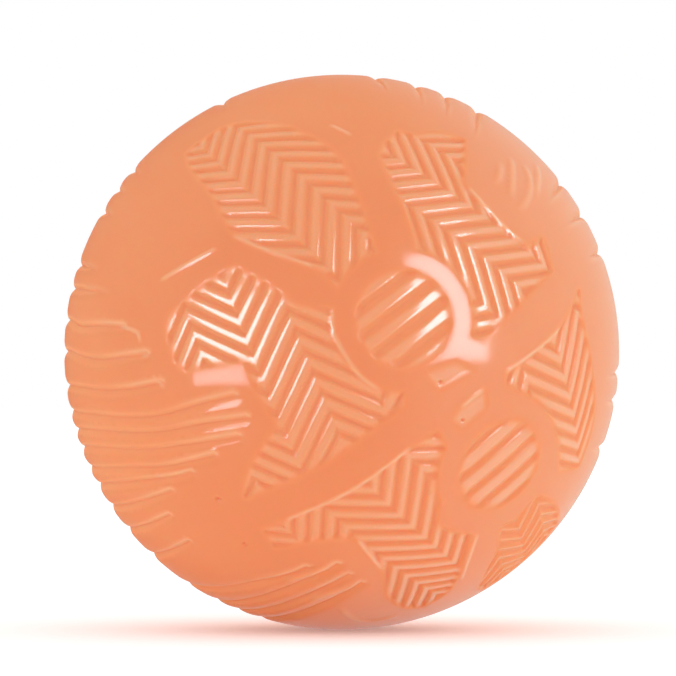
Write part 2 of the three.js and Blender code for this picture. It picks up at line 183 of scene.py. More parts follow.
# Small moulding pits: place on the map and radius, in degrees
PITS = [
    ((20, -6), 0.55), ((25.1, -14), 0.6), ((-27, -32), 0.9), ((-22, -43.5), 0.8), ((-12.5, -38), 0.5),
]

# Fine raised lines: some of the panels' edges, and a few short ones on the bands
RIDGES = [
    [(-23, 24.6), (-15, 20.8), (-5, 17)], [(-26, 22), (-33, 18.9), (-40, 15.5)],
    [(-1.9, 8.7), (-1.7, 4), (0.7, -0.6), (3.5, -4.6), (7.9, -7.8)],
    [(-12.2, -36), (1.9, -28.5), (14.2, -19.3)],
    [(3.3, -40.3), (9.5, -50)], [(28, 37), (35.5, 28.5), (41, 24.5)], [(34.4, -4.3), (45.6, 2.3), (50, 5.8)],
    [(-3, 53), (2.5, 49)], [(-52, 5.8), (-49.3, 5.6), (-45.4, 4.5), (-44.5, 1.8)], [(-41.4, -4.8), (-38, -8)],
    [(-45, -0.9), (-42, -0.7)], [(24.2, -11.6), (29.8, -7.4)], [(31.5, -41.8), (30.7, -48.5), (30.2, -58)],
]
RIDGE_REACH = 0.75
RIDGE_TAPER = 2

# Broad soft ridges: the fingers at the upper right and at the bottom
SWELLS = [
    [(34.6, 38.3), (37, 40.8), (39.1, 46.7)], [(39, 35.2), (40.6, 39.9), (43.2, 49.8)],
    [(40.4, 32.3), (44.3, 36.4), (47, 42.3), (47.5, 49)], [(47.4, 38), (50.8, 44.5), (53.7, 52.3)],
    [(-20, -54.5), (-12.9, -50.9), (-8.6, -48.8)], [(-14, -54.5), (-5.4, -49.9), (-1.5, -47.6)],
    [(-9, -61.5), (-0.9, -56.6), (4.3, -53.3)], [(-0.4, -63.6), (2.7, -70), (7.8, -73.7), (15.8, -71.4)],
]
SWELL_REACH = 1.6

# How scallops, creases and the painted highlight on their shoulders change along a crease: from and to
# degrees, and the shares
SCALLOP_GROWS = (1.0, 16.0, 0.0, 1.0)
CREASE_SETTLES = (2.0, 22.0, 2.0, 1.0)
SHOULDER_FADES = (4.0, 18.0, 0.9, 0.15)

# Sections: a band rounds down from this share of the edge's width, a higher power hollows a dip more, and a
# plain pocket's floor lies at this share of the way from a crest to a groove
EDGE_START = -0.3
SCALLOP_POWER = 2.0
CREASE_POWER = 1.5
POCKET_LEVEL = 0.28

# Painted highlight, a paler colour where light catches the relief: from and to shares of the way off a rib's
# crest with its strength there, the middle and width of a crease's lit shoulder in degrees, and its strength
# on a swell
CREST_LINE = (0.15, 0.6, 0.65, 0.0)
SHOULDER = (1.0, 0.9)
SWELL_CREST = 0.4

# Gloss: the levels between which it comes up, the middle and width of the worn edge in degrees with the share
# that it loses, and what is left of it on the bands
GLOSSY_LEVELS = (0.65, 0.9)
WORN_EDGE = (0.2, 1.6)
WORN_SHARE = 0.95
BAND_GLOSS = 0.6

# How closely the skin is meshed: numbers of points and rows, then steps, rows and clearances in degrees
RIM_POINTS = 720
RING_POINTS = 180
TIP_POINTS = 8
INNER_POINTS = 120
VALVE_POINTS = 96
RIB_ROWS = 12
FIELD_STEP = 0.62
LINE_STEP = 2
EDGE_STEP = 0.5
EDGE_ROWS = (0, 0.35, 0.75, 1.2)
CREASE_STEP = 0.7
CREASE_ROWS = (0, 0.3, 0.65, 1.05, 1.5)
RIDGE_ROWS = (0, 0.45, 0.95)
RIB_STEP = 0.62
PIT_ROWS = (0.02, 0.4, 0.75, 1.1)
INNER_STEP = 6
EDGE_CLEAR = 1.45
CREASE_CLEAR = 1.85
RIM = 90.0
RIM_CLEAR = 0.35
BOSS_CLEAR = 2
FAR = 90.0
NEAR_ENOUGH = 5
ON_ROW = 0.06
SAME_PLACE = 0.09

# Smallest differences that count
AT_RIM = 1e-4
MERGE_DISTANCE = 1e-7
NOT_ZERO = 1e-9

# Outlines: gentle bends become curves, and sharper corners are eased by this many degrees of arc
GENTLE_BEND = math.radians(42)
CORNER_EASE = 1.0
CURVE_POINTS = 7
BEND_SHARE = 0.45

# The layout's values on a blank's points: their kind, and what a point off the outer skin has
LAYOUT_VALUES = {
    "map": ("FLOAT_VECTOR", 0), "edge": ("FLOAT", -FAR), "pattern": ("INT", 0), "crease": ("FLOAT", FAR),
    "run": ("FLOAT", 0), "strength": ("FLOAT", 0), "pit": ("FLOAT", 0), "ridge": ("FLOAT", 0),
    "swell": ("FLOAT", 0), "skin": ("FLOAT", 0),
}

# The relief tree's inputs, and the skin setting that each one takes
RELIEF_INPUTS = {
    "Panel Depth": "panel_depth", "Rib Height": "rib_height", "Rib Crest": "rib_crest",
    "Edge Width": "edge_width", "Ridge Height": "ridge_height", "Swell Height": "swell_height",
    "Crease Depth": "crease_depth", "Crease Near Width": "crease_near", "Crease Far Width": "crease_far",
    "Scallop Depth": "scallop_depth", "Scallop Width": "scallop_width", "Pit Depth": "pit_depth",
    "Parting Line Depth": "parting_depth",
}

# Valve seat in the rear skin, and the two valve pieces
VALVE_FACE = BALL_RADIUS - 1 * MM
FLANGE_RADIUS = 6.4 * MM
FLANGE_THICKNESS = 2.4 * MM
SLEEVE_RADIUS = 3.6 * MM
SLEEVE_BORE = 1.7 * MM
BARB_RADIUS = 4.7 * MM
BARB_LENGTH = 2.4 * MM
BARB_LAND = 0.8 * MM
BOSS_WALL = 2.9 * MM
BOSS_THICKNESS = 5.2 * MM
PLUG_HEAD_RADIUS = 4.2 * MM
PLUG_HEAD_THICKNESS = 1 * MM
PLUG_SHANK_RADIUS = 1.4 * MM
PLUG_SHANK_LENGTH = 10.5 * MM
PLUG_TIP_RADIUS = 0.7 * MM
NAIL_NOTCH_WIDTH = 3 * MM
VALVE_CLEARANCE = 0.3 * MM
SEAT_RADIUS = FLANGE_RADIUS + VALVE_CLEARANCE
SEAT_HEIGHT = VALVE_FACE - FLANGE_THICKNESS - VALVE_CLEARANCE
BOSS_BOTTOM = SEAT_HEIGHT - BOSS_THICKNESS
BOSS_BORE = SLEEVE_RADIUS + VALVE_CLEARANCE
BOSS_RADIUS = BOSS_BORE + BOSS_WALL
MOUTH_EASE = 0.3 * MM
MOUTH_RADIUS = SEAT_RADIUS + MOUTH_EASE
PLUG_RECESS = PLUG_HEAD_RADIUS + VALVE_CLEARANCE
PLUG_SEAT = VALVE_FACE - PLUG_HEAD_THICKNESS - VALVE_CLEARANCE

# Turned corners are rounded in these steps over at most this share of a side, and the nail notch runs out
# past its half width, at this slope, in the wall above the plug's seat
PROFILE_STEPS = (0, 0.33, 0.67, 1)
PROFILE_SHARE = 0.4
NOTCH_REACH = 1.2
NOTCH_SLOPE = 2.5
NOTCH_MARGIN = 0.01 * MM

# Rubber: what is the same all over a piece, then how far cloudy pigment and the mould's grain show
RUBBER = {
    "Specular IOR Level": 0.03, "Subsurface Weight": 0.8, "Subsurface Radius": (1.0, 0.3, 0.16),
    "Subsurface Scale": 0.004, "Coat Weight": 0.3, "Coat Roughness": 0.13, "Coat IOR": 2.0,
}
SKIN_ROUGHNESS = 0.38
SKIN_COAT = 0.65
VALVE_ROUGHNESS = 0.4
VALVE_SHADE = 0.85
CLOUD_COLOUR = (0.35, 0.7)
CLOUD_SHARE = 0.3
CLOUD_ROUGHNESS = (0.3, 0.75)
SMOOTHER = 0.05
ROUGHER = 0.07
GRAIN = {"Strength": 0.06, "Distance": 0.0002}

# Stage: the softboxes, and the cards just before them that only gloss reflects
KEY_PLACE = Vector((0.72, -0.665, 0.313))
KEY_SIZE = (0.51, 0.74)
SIDE_PLACE = Vector((-0.727, -0.687, 0.096))
SIDE_SIZE = (0.56, 0.59)
CARD_SHARE = 0.95
LAMP_WATTS = 4
WARM_WHITE = (1.0, 0.96, 0.94)
COOL_WHITE = (0.84, 0.88, 1.0)

# Surroundings: gloss is warm at the left and bright at the right, and the light leans back and up
WHITE = (1.0, 1.0, 1.0)
WARM_SIDE = (0.6, 0.1, 0.07)
BRIGHT_SIDE = (0.85, 0.85, 0.85)
BRIGHT_WAY = (0.9, 0.3, -0.2)
BRIGHT_RISE = (0.0, 0.6)
LIGHT_LEAN = (0.0, 0.15, 0.38)
TABLE_GLOW = 0.2
FLOOR_SIDES = 96
FLOOR_ROUGHNESS = 0.9

# Camera: the lens in millimetres, with the shift that frames the ball as in the photograph
LENS = {"sensor_width": 36, "lens": 295.2, "shift_x": -0.0055, "shift_y": 0.021, "clip_start": 0.01}


class SkinSettings(bpy.types.PropertyGroup):
    """Sizes and colours of the two moulded skins."""

    panel_depth: FloatProperty(
        name="Panel Depth", description="How far the panel floors lie below the bands",
        default=0.5 * MM, min=0, unit="LENGTH")
    rib_height: FloatProperty(
        name="Rib Height", description="How far the herringbone ribs rise from the panel floors",
        default=0.4 * MM, min=0, unit="LENGTH")
    rib_crest: FloatProperty(
        name="Rib Crest", description="Share of the pitch that a rib's flat top takes",
        default=0.3, min=0, max=0.9, subtype="FACTOR")
    edge_width: FloatProperty(
        name="Edge Width", description="Degrees of arc over which a band rounds down to a panel floor",
        default=1.2, min=0.1)
    ridge_height: FloatProperty(
        name="Ridge Height", description="Height of the fine raised lines",
        default=0.1 * MM, min=0, unit="LENGTH")
    swell_height: FloatProperty(
        name="Swell Height", description="Height of the broad soft ridges",
        default=0.22 * MM, min=0, unit="LENGTH")
    crease_depth: FloatProperty(
        name="Crease Depth", description="Depth of the creases between the scallops",
        default=0.17 * MM, min=0, unit="LENGTH")
    crease_near: FloatProperty(
        name="Crease Near Width", description="Degrees of arc of a crease's steep side",
        default=0.9, min=0.1)
    crease_far: FloatProperty(
        name="Crease Far Width", description="Degrees of arc of a crease's gentle side",
        default=2.4, min=0.1)
    scallop_depth: FloatProperty(
        name="Scallop Depth", description="How far a scallop rounds down towards its creases",
        default=0.4 * MM, min=0, unit="LENGTH")
    scallop_width: FloatProperty(
        name="Scallop Width", description="Degrees of arc from a crease to the top of a scallop",
        default=3.6, min=0.1)
    pit_depth: FloatProperty(
        name="Pit Depth", description="Depth of the small moulding pits",
        default=0.35 * MM, min=0, unit="LENGTH")
    parting_depth: FloatProperty(
        name="Parting Line Depth", description="Depth of the fine line where the skins meet",
        default=0.12 * MM, min=0, unit="LENGTH")
    ridge_colour: FloatVectorProperty(
        name="Ridge Colour", description="Rubber on the bands and rib tops",
        default=(0.84, 0.3, 0.135), min=0, max=1, subtype="COLOR")
    # Painted fill light: paler than the ridge colour, it is laid on the panel floors and in the creases to
    # lift their shade; it is also the second tone of the cloudy pigment.
    groove_colour: FloatVectorProperty(
        name="Groove Colour", description="Rubber deep in the panels and creases",
        default=(0.88, 0.34, 0.16), min=0, max=1, subtype="COLOR")
    # Painted highlight: a paler colour on rib crests, fine ridges, the lit shoulders of creases and swells,
    # where light would catch them.
    crest_colour: FloatVectorProperty(
        name="Crest Colour", description="Thin rubber on rib crests and band edges, where light shows",
        default=(0.9, 0.43, 0.24), min=0, max=1, subtype="COLOR")


class ValveSettings(bpy.types.PropertyGroup):
    """Sizes and colour of the air valve."""

    sides: IntProperty(
        name="Sides", description="Steps round each turned valve piece", default=96, min=24, max=256)
    edge_ease: FloatProperty(
        name="Edge Ease", description="Rounding of the valve's edges",
        default=0.25 * MM, min=0, unit="LENGTH")
    colour: FloatVectorProperty(
        name="Valve Colour", description="Paler rubber of the sleeve and its plug",
        default=(0.88, 0.42, 0.24), min=0, max=1, subtype="COLOR")


class StageSettings(bpy.types.PropertyGroup):
    """Floor, lights and camera."""

    floor_radius: FloatProperty(
        name="Floor Radius", description="Reach of the plain floor", default=3.0, min=0.2, unit="LENGTH")
    floor_colour: FloatVectorProperty(
        name="Floor Colour", description="Pale floor", default=(0.95, 0.95, 0.95), min=0, max=1,
        subtype="COLOR")
    ambient: FloatProperty(
        name="Ambient", description="Strength of the soft light from all round", default=0.8, min=0)
    key_light: FloatProperty(
        name="Key Light", description="Brightness of the softbox at the upper right", default=0.45, min=0)
    side_light: FloatProperty(
        name="Side Light", description="Brightness of the softbox at the left", default=0.25, min=0)
    key_shine: FloatProperty(
        name="Key Shine", description="Brightness of the key card, which only gloss reflects",
        default=7, min=0)
    side_shine: FloatProperty(
        name="Side Shine", description="Brightness of the side card, which only gloss reflects",
        default=7, min=0)
    camera_distance: FloatProperty(
        name="Camera Distance", description="From the lens to the middle of the ball",
        default=BALL_RADIUS * 20, min=0.1, unit="LENGTH")


# Places on the map


def directions_of(places):
    """Unit vectors on the front half for places on the map."""
    places = np.asarray(places, float)
    away = np.hypot(places[:, 0], places[:, 1])
    angle = np.radians(away)
    spread = np.divide(np.sin(angle), away, out=np.zeros_like(away), where=away > 0)
    return np.column_stack([places[:, 0] * spread, -np.cos(angle), places[:, 1] * spread])


def places_of(directions):
    """Places on the map for unit vectors on the front half."""
    angle = np.degrees(np.arccos(np.clip(-directions[:, 1], -1, 1)))
    across = np.hypot(directions[:, 0], directions[:, 2])
    spread = np.divide(angle, across, out=np.zeros_like(angle), where=across > 0)
    return np.column_stack([directions[:, 0] * spread, directions[:, 2] * spread])


def heading(angle):
    """The direction on the map at an angle in degrees, counted from the map's right."""
    return np.array([math.cos(math.radians(angle)), math.sin(math.radians(angle))])


def circle_places(radius, number, centre=(0, 0)):
    """Places on a flat circle of the map, in order from its right."""
    turn = np.arange(number) * (2 * math.pi / number)
    return np.array(centre) + radius * np.column_stack([np.cos(turn), np.sin(turn)])


def circle_about(centre, angle, count):
    """Places on a circle of the ball about a place on the map."""
    axis = Vector(directions_of([centre])[0])
    side = axis.orthogonal().normalized()
    up = axis.cross(side)
    turn = np.linspace(0, 2 * math.pi, count, endpoint=False)[:, None]
    ring = math.cos(math.radians(angle)) * np.array(axis) + math.sin(math.radians(angle)) * (
        np.cos(turn) * np.array(side) + np.sin(turn) * np.array(up))
    return places_of(ring)


def arc_from(places, centre):
    """Degrees of arc from a place on the map to each of many."""
    return np.degrees(np.arccos(np.clip(directions_of(places) @ directions_of([centre])[0], -1, 1)))


def line_distance(places, line):
    """Distance from each place to an open line, how far along the line that is, and on which side."""
    best = np.full(len(places), np.inf)
    run = np.zeros(len(places))
    side = np.ones(len(places))
    before = 0.0
    for start, end in zip(line[:-1], line[1:]):
        step = end - start
        length = np.hypot(*step)
        from_start = places - start
        share = np.clip((from_start @ step) / length**2, 0, 1)
        away = np.hypot(*(from_start - share[:, None] * step).T)
        near = away < best
        best[near] = away[near]
        run[near] = before + share[near] * length
        side[near] = np.sign(from_start[near] @ np.array([step[1], -step[0]]))
        before += length
    return best, run, side


def close_to(places, line, margin):
    """Which places lie in a line's box, with a margin round it."""
    return ((places > line.min(0) - margin) & (places < line.max(0) + margin)).all(1)


def inside_distance(places, outline):
    """Distance from each place to a closed outline, positive inside it."""
    closed = np.vstack([outline, outline[:1]])
    away, _, _ = line_distance(places, closed)
    inside = np.zeros(len(places), bool)
    x, y = places.T
    for (x0, y0), (x1, y1) in zip(closed[:-1], closed[1:]):
        crosses = (y0 > y) != (y1 > y)
        inside ^= crosses & (x < x0 + (y - y0) * (x1 - x0) / (y1 - y0 if y1 != y0 else 1))
    return np.where(inside, away, -away)


def eased(outline):
    """A closed outline whose gentle bends become curves and whose corners are slightly round."""
    corners = np.array(outline, float)
    drawn = []
    for before, corner, after in zip(np.roll(corners, 1, 0), corners, np.roll(corners, -1, 0)):
        back, ahead = before - corner, after - corner
        reach = BEND_SHARE * min(np.hypot(*back), np.hypot(*ahead))
        back, ahead = back / np.hypot(*back), ahead / np.hypot(*ahead)
        bend = math.pi - math.acos(np.clip(back @ ahead, -1, 1))
        cut = reach if bend < GENTLE_BEND else min(reach, CORNER_EASE)
        for t in np.linspace(0, 1, CURVE_POINTS):
            drawn.append(corner + back * cut * (1 - t) ** 2 + ahead * cut * t**2)
    return np.array(drawn)


def smooth_line(line, step):
    """An open line through the given places, drawn as a smooth curve in short steps."""
    given = np.array(line, float)
    if len(given) == 2:
        return given
    padded = np.vstack([2 * given[0] - given[1], given, 2 * given[-1] - given[-2]])
    drawn = [given[0]]
    for p0, p1, p2, p3 in zip(padded[:-3], padded[1:-2], padded[2:-1], padded[3:]):
        count = max(2, round(np.hypot(*(p2 - p1)) / step))
        for t in np.linspace(0, 1, count + 1)[1:]:
            drawn.append(0.5 * (2 * p1 + (p2 - p0) * t + (2 * p0 - 5 * p1 + 4 * p2 - p3) * t**2
                                + (3 * p1 - p0 - 3 * p2 + p3) * t**3))
    return np.array(drawn)


def stations(line, step, closed):
    """Evenly spaced places along a line, with the sideways direction at each."""
    path = np.vstack([line, line[:1]]) if closed else line
    run = np.concatenate([[0], np.cumsum(np.hypot(*np.diff(path, axis=0).T))])
    at = np.linspace(0, run[-1], max(2, round(run[-1] / step)), endpoint=not closed)
    spots = np.column_stack([np.interp(at, run, path[:, i]) for i in range(2)])
    nudge = step / 4
    ahead = np.column_stack([np.interp(at + nudge, run, path[:, i]) for i in range(2)])
    behind = np.column_stack([np.interp(at - nudge, run, path[:, i]) for i in range(2)])
    along = ahead - behind
    along /= np.maximum(np.hypot(*along.T), NOT_ZERO)[:, None]
    return spots, np.column_stack([-along[:, 1], along[:, 0]])


# The relief's layout


def rib_patterns():
    """The panels' herringbones, and the medallions' straight ribs as herringbones of one broad column."""
    patterns = list(PANELS)
    for ring in MEDALLIONS:
        lean = ring["rib_angle"]
        shift = ring["rib_shift"] * heading(lean - 90) - MEDALLION_RING * heading(lean)
        patterns.append({
            "corner": ring["centre"] + shift, "axis": lean - 90, "column": 2 * MEDALLION_RING,
            "pitch": ring["pitch"], "legs": (lean, lean), "boldness": ring["boldness"],
        })
    return patterns


def leans_of(pattern):
    """How far a rib runs along its pattern's axis for each degree across it, on the two legs in turn."""
    return [1 / math.tan(math.radians(leg) - math.radians(pattern["axis"])) for leg in pattern["legs"]]


class Layout:
    """Pockets, creases and rib patterns of one half, on the map."""

    def __init__(self, with_valve):
        self.with_valve = with_valve
        self.strap = smooth_line(STRAP_LINE, LINE_STEP)
        self.creases = [smooth_line(line, LINE_STEP) for line in CREASES + NOTCHES]
        self.ridges = [smooth_line(line, LINE_STEP) for line in RIDGES]
        self.swells = [smooth_line(line, LINE_STEP) for line in SWELLS]
        self.outlines = [eased(panel["outline"]) for panel in PANELS]
        self.discs = [ring["centre"] for ring in MEDALLIONS]
        self.pockets = [eased(outline) for outline in POCKETS]
        self.patterns = rib_patterns()

    def edge(self, places):
        """How far inside its pocket each place is, less than 0 on the bands, and the pocket's number."""
        reach, _, _ = line_distance(places, self.strap)
        clear = reach - STRAP_HALF_WIDTH
        from_discs = [arc_from(places, centre) for centre in self.discs]
        for away in from_discs:
            clear = np.minimum(clear, away - MEDALLION_RING)
        discs = [MEDALLION_DISC - away for away in from_discs]
        if self.with_valve:
            # The valve takes the place of the first disc
            discs[0] = np.full(len(places), -FAR)
        panels = [np.minimum(self.near(places, outline), clear) for outline in self.outlines]
        pockets = [self.near(places, outline) for outline in self.pockets]
        depths = np.array(panels + discs + pockets)
        return depths.max(0), depths.argmax(0)

    def near(self, places, outline):
        """Inside distance to an outline, worked out only close to it."""
        close = close_to(places, outline, NEAR_ENOUGH)
        depth = np.full(len(places), -FAR)
        depth[close] = inside_distance(places[close], outline)
        return depth

    def crease(self, places):
        """Distance to the nearest crease, above 0 on its steep side, how far along it and how strong."""
        best = np.full(len(places), FAR)
        run = np.zeros(len(places))
        strength = np.zeros(len(places))
        for number, line in enumerate(self.creases):
            close = np.flatnonzero(close_to(places, line, NEAR_ENOUGH))
            away, along, side = line_distance(places[close], line)
            near = away < np.abs(best[close])
            best[close[near]] = (away * side)[near]
            run[close[near]] = along[near]
            fade = np.clip(along / NOTCH_FADE, 0, 1) if number >= len(CREASES) else np.ones(len(along))
            strength[close[near]] = fade[near]
        return best, run, strength

    def raised(self, places, lines, reach):
        """Share of a raised line's height at each place; the lines run out at their ends."""
        share = np.zeros(len(places))
        for line in lines:
            close = np.flatnonzero(close_to(places, line, reach))
            away, run, _ = line_distance(places[close], line)
            length = np.hypot(*np.diff(line, axis=0).T).sum()
            t = np.clip(away / reach, 0, 1)
            ends = np.clip(np.minimum(run, length - run) / (RIDGE_TAPER * reach), 0, 1)
            share[close] = np.maximum(share[close], (1 - t * t) ** 2 * ends)
        return share

    def pit(self, places):
        """Share of a pit's depth at each place."""
        share = np.zeros(len(places))
        for centre, radius in PITS:
            t = np.clip(np.hypot(*(places - np.array(centre)).T) / radius, 0, 1)
            share = np.maximum(share, (1 - t * t) ** 2)
        return share

    def boundaries(self):
        """The lines that pockets end at: their outlines, the strap's sides, the rings and the discs."""
        lines = [(outline, True) for outline in self.outlines + self.pockets]
        spots, sideways = stations(self.strap, EDGE_STEP, False)
        lines += [(spots + side * STRAP_HALF_WIDTH * sideways, False) for side in (1, -1)]
        for centre in self.discs:
            for angle in (MEDALLION_RING, MEDALLION_DISC):
                lines.append((circle_about(centre, angle, RING_POINTS), True))
        return lines

    def values(self, places):
        """All of the layout's values at each place, by name."""
        edge, number = self.edge(places)
        crease, run, strength = self.crease(places)
        return {
            "map": np.column_stack([places, np.zeros(len(places))]), "edge": edge,
            "pattern": number.astype(np.int32), "crease": crease, "run": run, "strength": strength,
            "pit": self.pit(places), "ridge": self.raised(places, self.ridges, RIDGE_REACH),
            "swell": self.raised(places, self.swells, SWELL_REACH), "skin": np.ones(len(places)),
        }


def rib_places(pattern, low, high):
    """Rows of places that follow a pattern's ribs round their bends, over a box of the map."""
    along = heading(pattern["axis"])
    across = np.array([-along[1], along[0]])
    corner = np.array(pattern["corner"], float)
    first, second = leans_of(pattern)
    column, pitch = pattern["column"], pattern["pitch"]
    reach = np.hypot(*(high - low))
    steps = max(2, round(column / RIB_STEP))
    outer = math.ceil(reach / column) * steps
    columns = np.arange(-outer, outer + 1) / steps
    whole = np.floor(columns)
    odd = np.mod(whole, 2)
    bend = (whole - odd) / 2 * (first + second) + odd * first
    bend = (bend + (columns - whole) * np.where(odd == 1, second, first)) * column
    count = math.ceil((reach + np.abs(bend).max()) / pitch) * RIB_ROWS
    rows = np.arange(-count, count + 1)[:, None] * (pitch / RIB_ROWS)
    forward = rows + bend[None, :]
    sideways = np.broadcast_to(columns * column, forward.shape)
    places = corner + forward[..., None] * along + sideways[..., None] * across
    places = places.reshape(-1, 2)
    return places[((places > low) & (places < high)).all(1)]


def field_places(step, limit):
    """Places on rings about the front pole, evenly spread over the half ball."""
    rings = [np.zeros((1, 2))]
    count = round(limit / step)
    for i in range(1, count):
        away = limit * i / count
        number = max(6, round(360 * math.sin(math.radians(away)) / step))
        turn = (np.arange(number) + 0.5 * (i % 2)) * (2 * math.pi / number)
        rings.append(away * np.column_stack([np.cos(turn), np.sin(turn)]))
    return np.vstack(rings)


def thinned(places):
    """The places without those that lie on one another, the first ones kept."""
    cells = np.round(places / SAME_PLACE).astype(np.int64)
    _, first = np.unique(cells, axis=0, return_index=True)
    return places[np.sort(first)]


def rows_beside(spots, sideways, rows):
    """Places beside a line at each row's distance, on both sides, and those distances."""
    places, distances = [], []
    for row in rows:
        for side in (1, -1) if row else (1,):
            places.append(spots + side * row * sideways)
            distances.append(np.full(len(spots), row))
    return np.vstack(places), np.concatenate(distances)


def beside_lines(lines, step, rows):
    """Rows of places beside lines, each given with whether it is closed, and the places' distances."""
    pairs = [rows_beside(*stations(line, step, closed), rows) for line, closed in lines]
    places, distances = zip(*pairs)
    return np.vstack(places), np.concatenate(distances)


def edge_places(layout):
    """Rows of places along every edge of a pocket."""
    places, distances = beside_lines(layout.boundaries(), EDGE_STEP, EDGE_ROWS)
    edge, _ = layout.edge(places)
    return places[np.abs(np.abs(edge) - distances) < ON_ROW]


def crease_places(layout):
    """Rows of places along every crease, round its inner end, and along the raised lines."""
    places, distances = beside_lines([(line, False) for line in layout.creases], CREASE_STEP, CREASE_ROWS)
    crease, _, _ = layout.crease(places)
    kept = [places[np.abs(np.abs(crease) - distances) < ON_ROW]]
    for line in layout.creases:
        kept += [circle_places(row, TIP_POINTS, line[0]) for row in CREASE_ROWS[1:]]
    for lines, reach in ((layout.ridges, RIDGE_REACH), (layout.swells, SWELL_REACH)):
        open_lines = [(line, False) for line in lines]
        kept.append(beside_lines(open_lines, CREASE_STEP, np.multiply(RIDGE_ROWS, reach))[0])
    places = np.vstack(kept)
    edge, _ = layout.edge(places)
    return places[edge < -EDGE_CLEAR]


def ribbed_places(layout):
    """Rows of places along the ribs of every pattern, clear of the edges."""
    kept = []
    for number, pattern in enumerate(layout.patterns):
        if number < len(layout.outlines):
            low, high = layout.outlines[number].min(0), layout.outlines[number].max(0)
        else:
            centre = np.array(layout.discs[number - len(layout.outlines)])
            low, high = centre - MEDALLION_RING, centre + MEDALLION_RING
        places = rib_places(pattern, low, high)
        edge, inside = layout.edge(places)
        kept.append(places[(edge > EDGE_CLEAR) & (inside == number)])
    return np.vstack(kept)


def plain_places(layout):
    """Evenly spread places on the bands and scallops and in the plain pockets."""
    places = field_places(FIELD_STEP, RIM)
    edge, inside = layout.edge(places)
    crease, _, _ = layout.crease(places)
    plain = (edge < -EDGE_CLEAR) | ((edge > EDGE_CLEAR) & (inside >= len(layout.patterns)))
    plain &= (layout.pit(places) == 0) & (layout.raised(places, layout.ridges, RIDGE_REACH) == 0)
    return places[plain & (np.abs(crease) > CREASE_CLEAR)]


def skin_places(layout, hole):
    """Every place where the outer skin has a point: along edges, creases and ribs, and between them."""
    pits = [circle_places(row * radius, TIP_POINTS, centre) for centre, radius in PITS for row in PIT_ROWS]
    places = np.vstack(
        [edge_places(layout), *pits, crease_places(layout), ribbed_places(layout), plain_places(layout)])
    places = places[np.hypot(*places.T) < RIM - RIM_CLEAR]
    if hole:
        places = places[arc_from(places, hole["centre"]) > hole["angle"] + RIM_CLEAR]
        places = np.vstack([hole["places"], places])
    return thinned(np.vstack([circle_places(RIM, RIM_POINTS), places]))


def air_places(limit, boss):
    """Places on the smooth air side, out to a limit and clear of any valve boss."""
    rim, field = circle_places(limit, INNER_POINTS), field_places(INNER_STEP, limit)
    if not boss:
        return np.vstack([rim, field])
    clear = arc_from(field, boss["centre"]) > boss["angle"] + BOSS_CLEAR
    return np.vstack([boss["places"], rim, field[clear]])


def triangles_over(places):
    """The places joined by well shaped triangles."""
    points, _, faces, *_ = delaunay_2d_cdt([Vector(p) for p in places], [], [], 0, MERGE_DISTANCE, False)
    return np.array([p[:] for p in points]), np.array(faces)


def rim_loop(places):
    """Numbers of the outermost places, in order from the map's right."""
    away = np.hypot(*places.T)
    at_rim = np.flatnonzero(away > away.max() - AT_RIM)
    turn = np.arctan2(places[at_rim, 1], places[at_rim, 0])
    return at_rim[np.argsort(np.mod(turn + AT_RIM, 2 * math.pi))]


# Mesh parts


def valve_frame():
    """Two directions across the valve's axis."""
    turn = Vector((0, 1, 0)).rotation_difference(VALVE_AXIS)
    return np.array(turn @ Vector((1, 0, 0))), np.array(turn @ Vector((0, 0, 1)))


def valve_ring(radius, height, number):
    """Points of a circle about the valve's axis, at a height above the ball's centre."""
    side, up = valve_frame()
    turn = np.arange(number)[:, None] * (2 * math.pi / number)
    return height * np.array(VALVE_AXIS) + radius * (np.cos(turn) * side + np.sin(turn) * up)


class Shell:
    """Points and faces of a closed piece, put together from sheets and rings."""

    def __init__(self):
        self.points = []
        self.faces = []
        self.smooth = []

    def add_points(self, points):
        """Adds points and gives their numbers."""
        start = len(self.points)
        self.points.extend(map(tuple, points))
        return np.arange(start, len(self.points))

    def add_faces(self, faces, smooth):
        """Adds faces, which are all smooth or all flat."""
        self.faces.extend([tuple(int(i) for i in face) for face in faces])
        self.smooth.extend([smooth] * len(faces))

    def bridge(self, first, second, smooth):
        """Joins two loops that run the same way round from the same angle; a loop may be one point."""
        first, second = (np.append(loop, loop[0]) if len(loop) > 1 else loop for loop in (first, second))
        last_i, last_j = len(first) - 1, len(second) - 1
        faces = []
        i = j = 0
        while i < last_i or j < last_j:
            # The loop that is less far round goes on
            here, there = first[i], second[j]
            if j == last_j or (i < last_i and (i + 0.5) * last_j <= (j + 0.5) * last_i):
                i += 1
                faces.append((here, first[i], there))
            else:
                j += 1
                faces.append((here, second[j], there))
        self.add_faces(faces, smooth)

    def join_loops(self, loops, smooth=False):
        """Joins each loop to the next; the other way round, the faces look the other way."""
        for before, after in zip(loops[:-1], loops[1:]):
            self.bridge(after, before, smooth)

    def mesh(self, name):
        """The shell as a mesh."""
        mesh = bpy.data.meshes.new(name)
        mesh.from_pydata(self.points, [], self.faces)
        mesh.polygons.foreach_set("use_smooth", self.smooth)
        mesh.update()
        return mesh


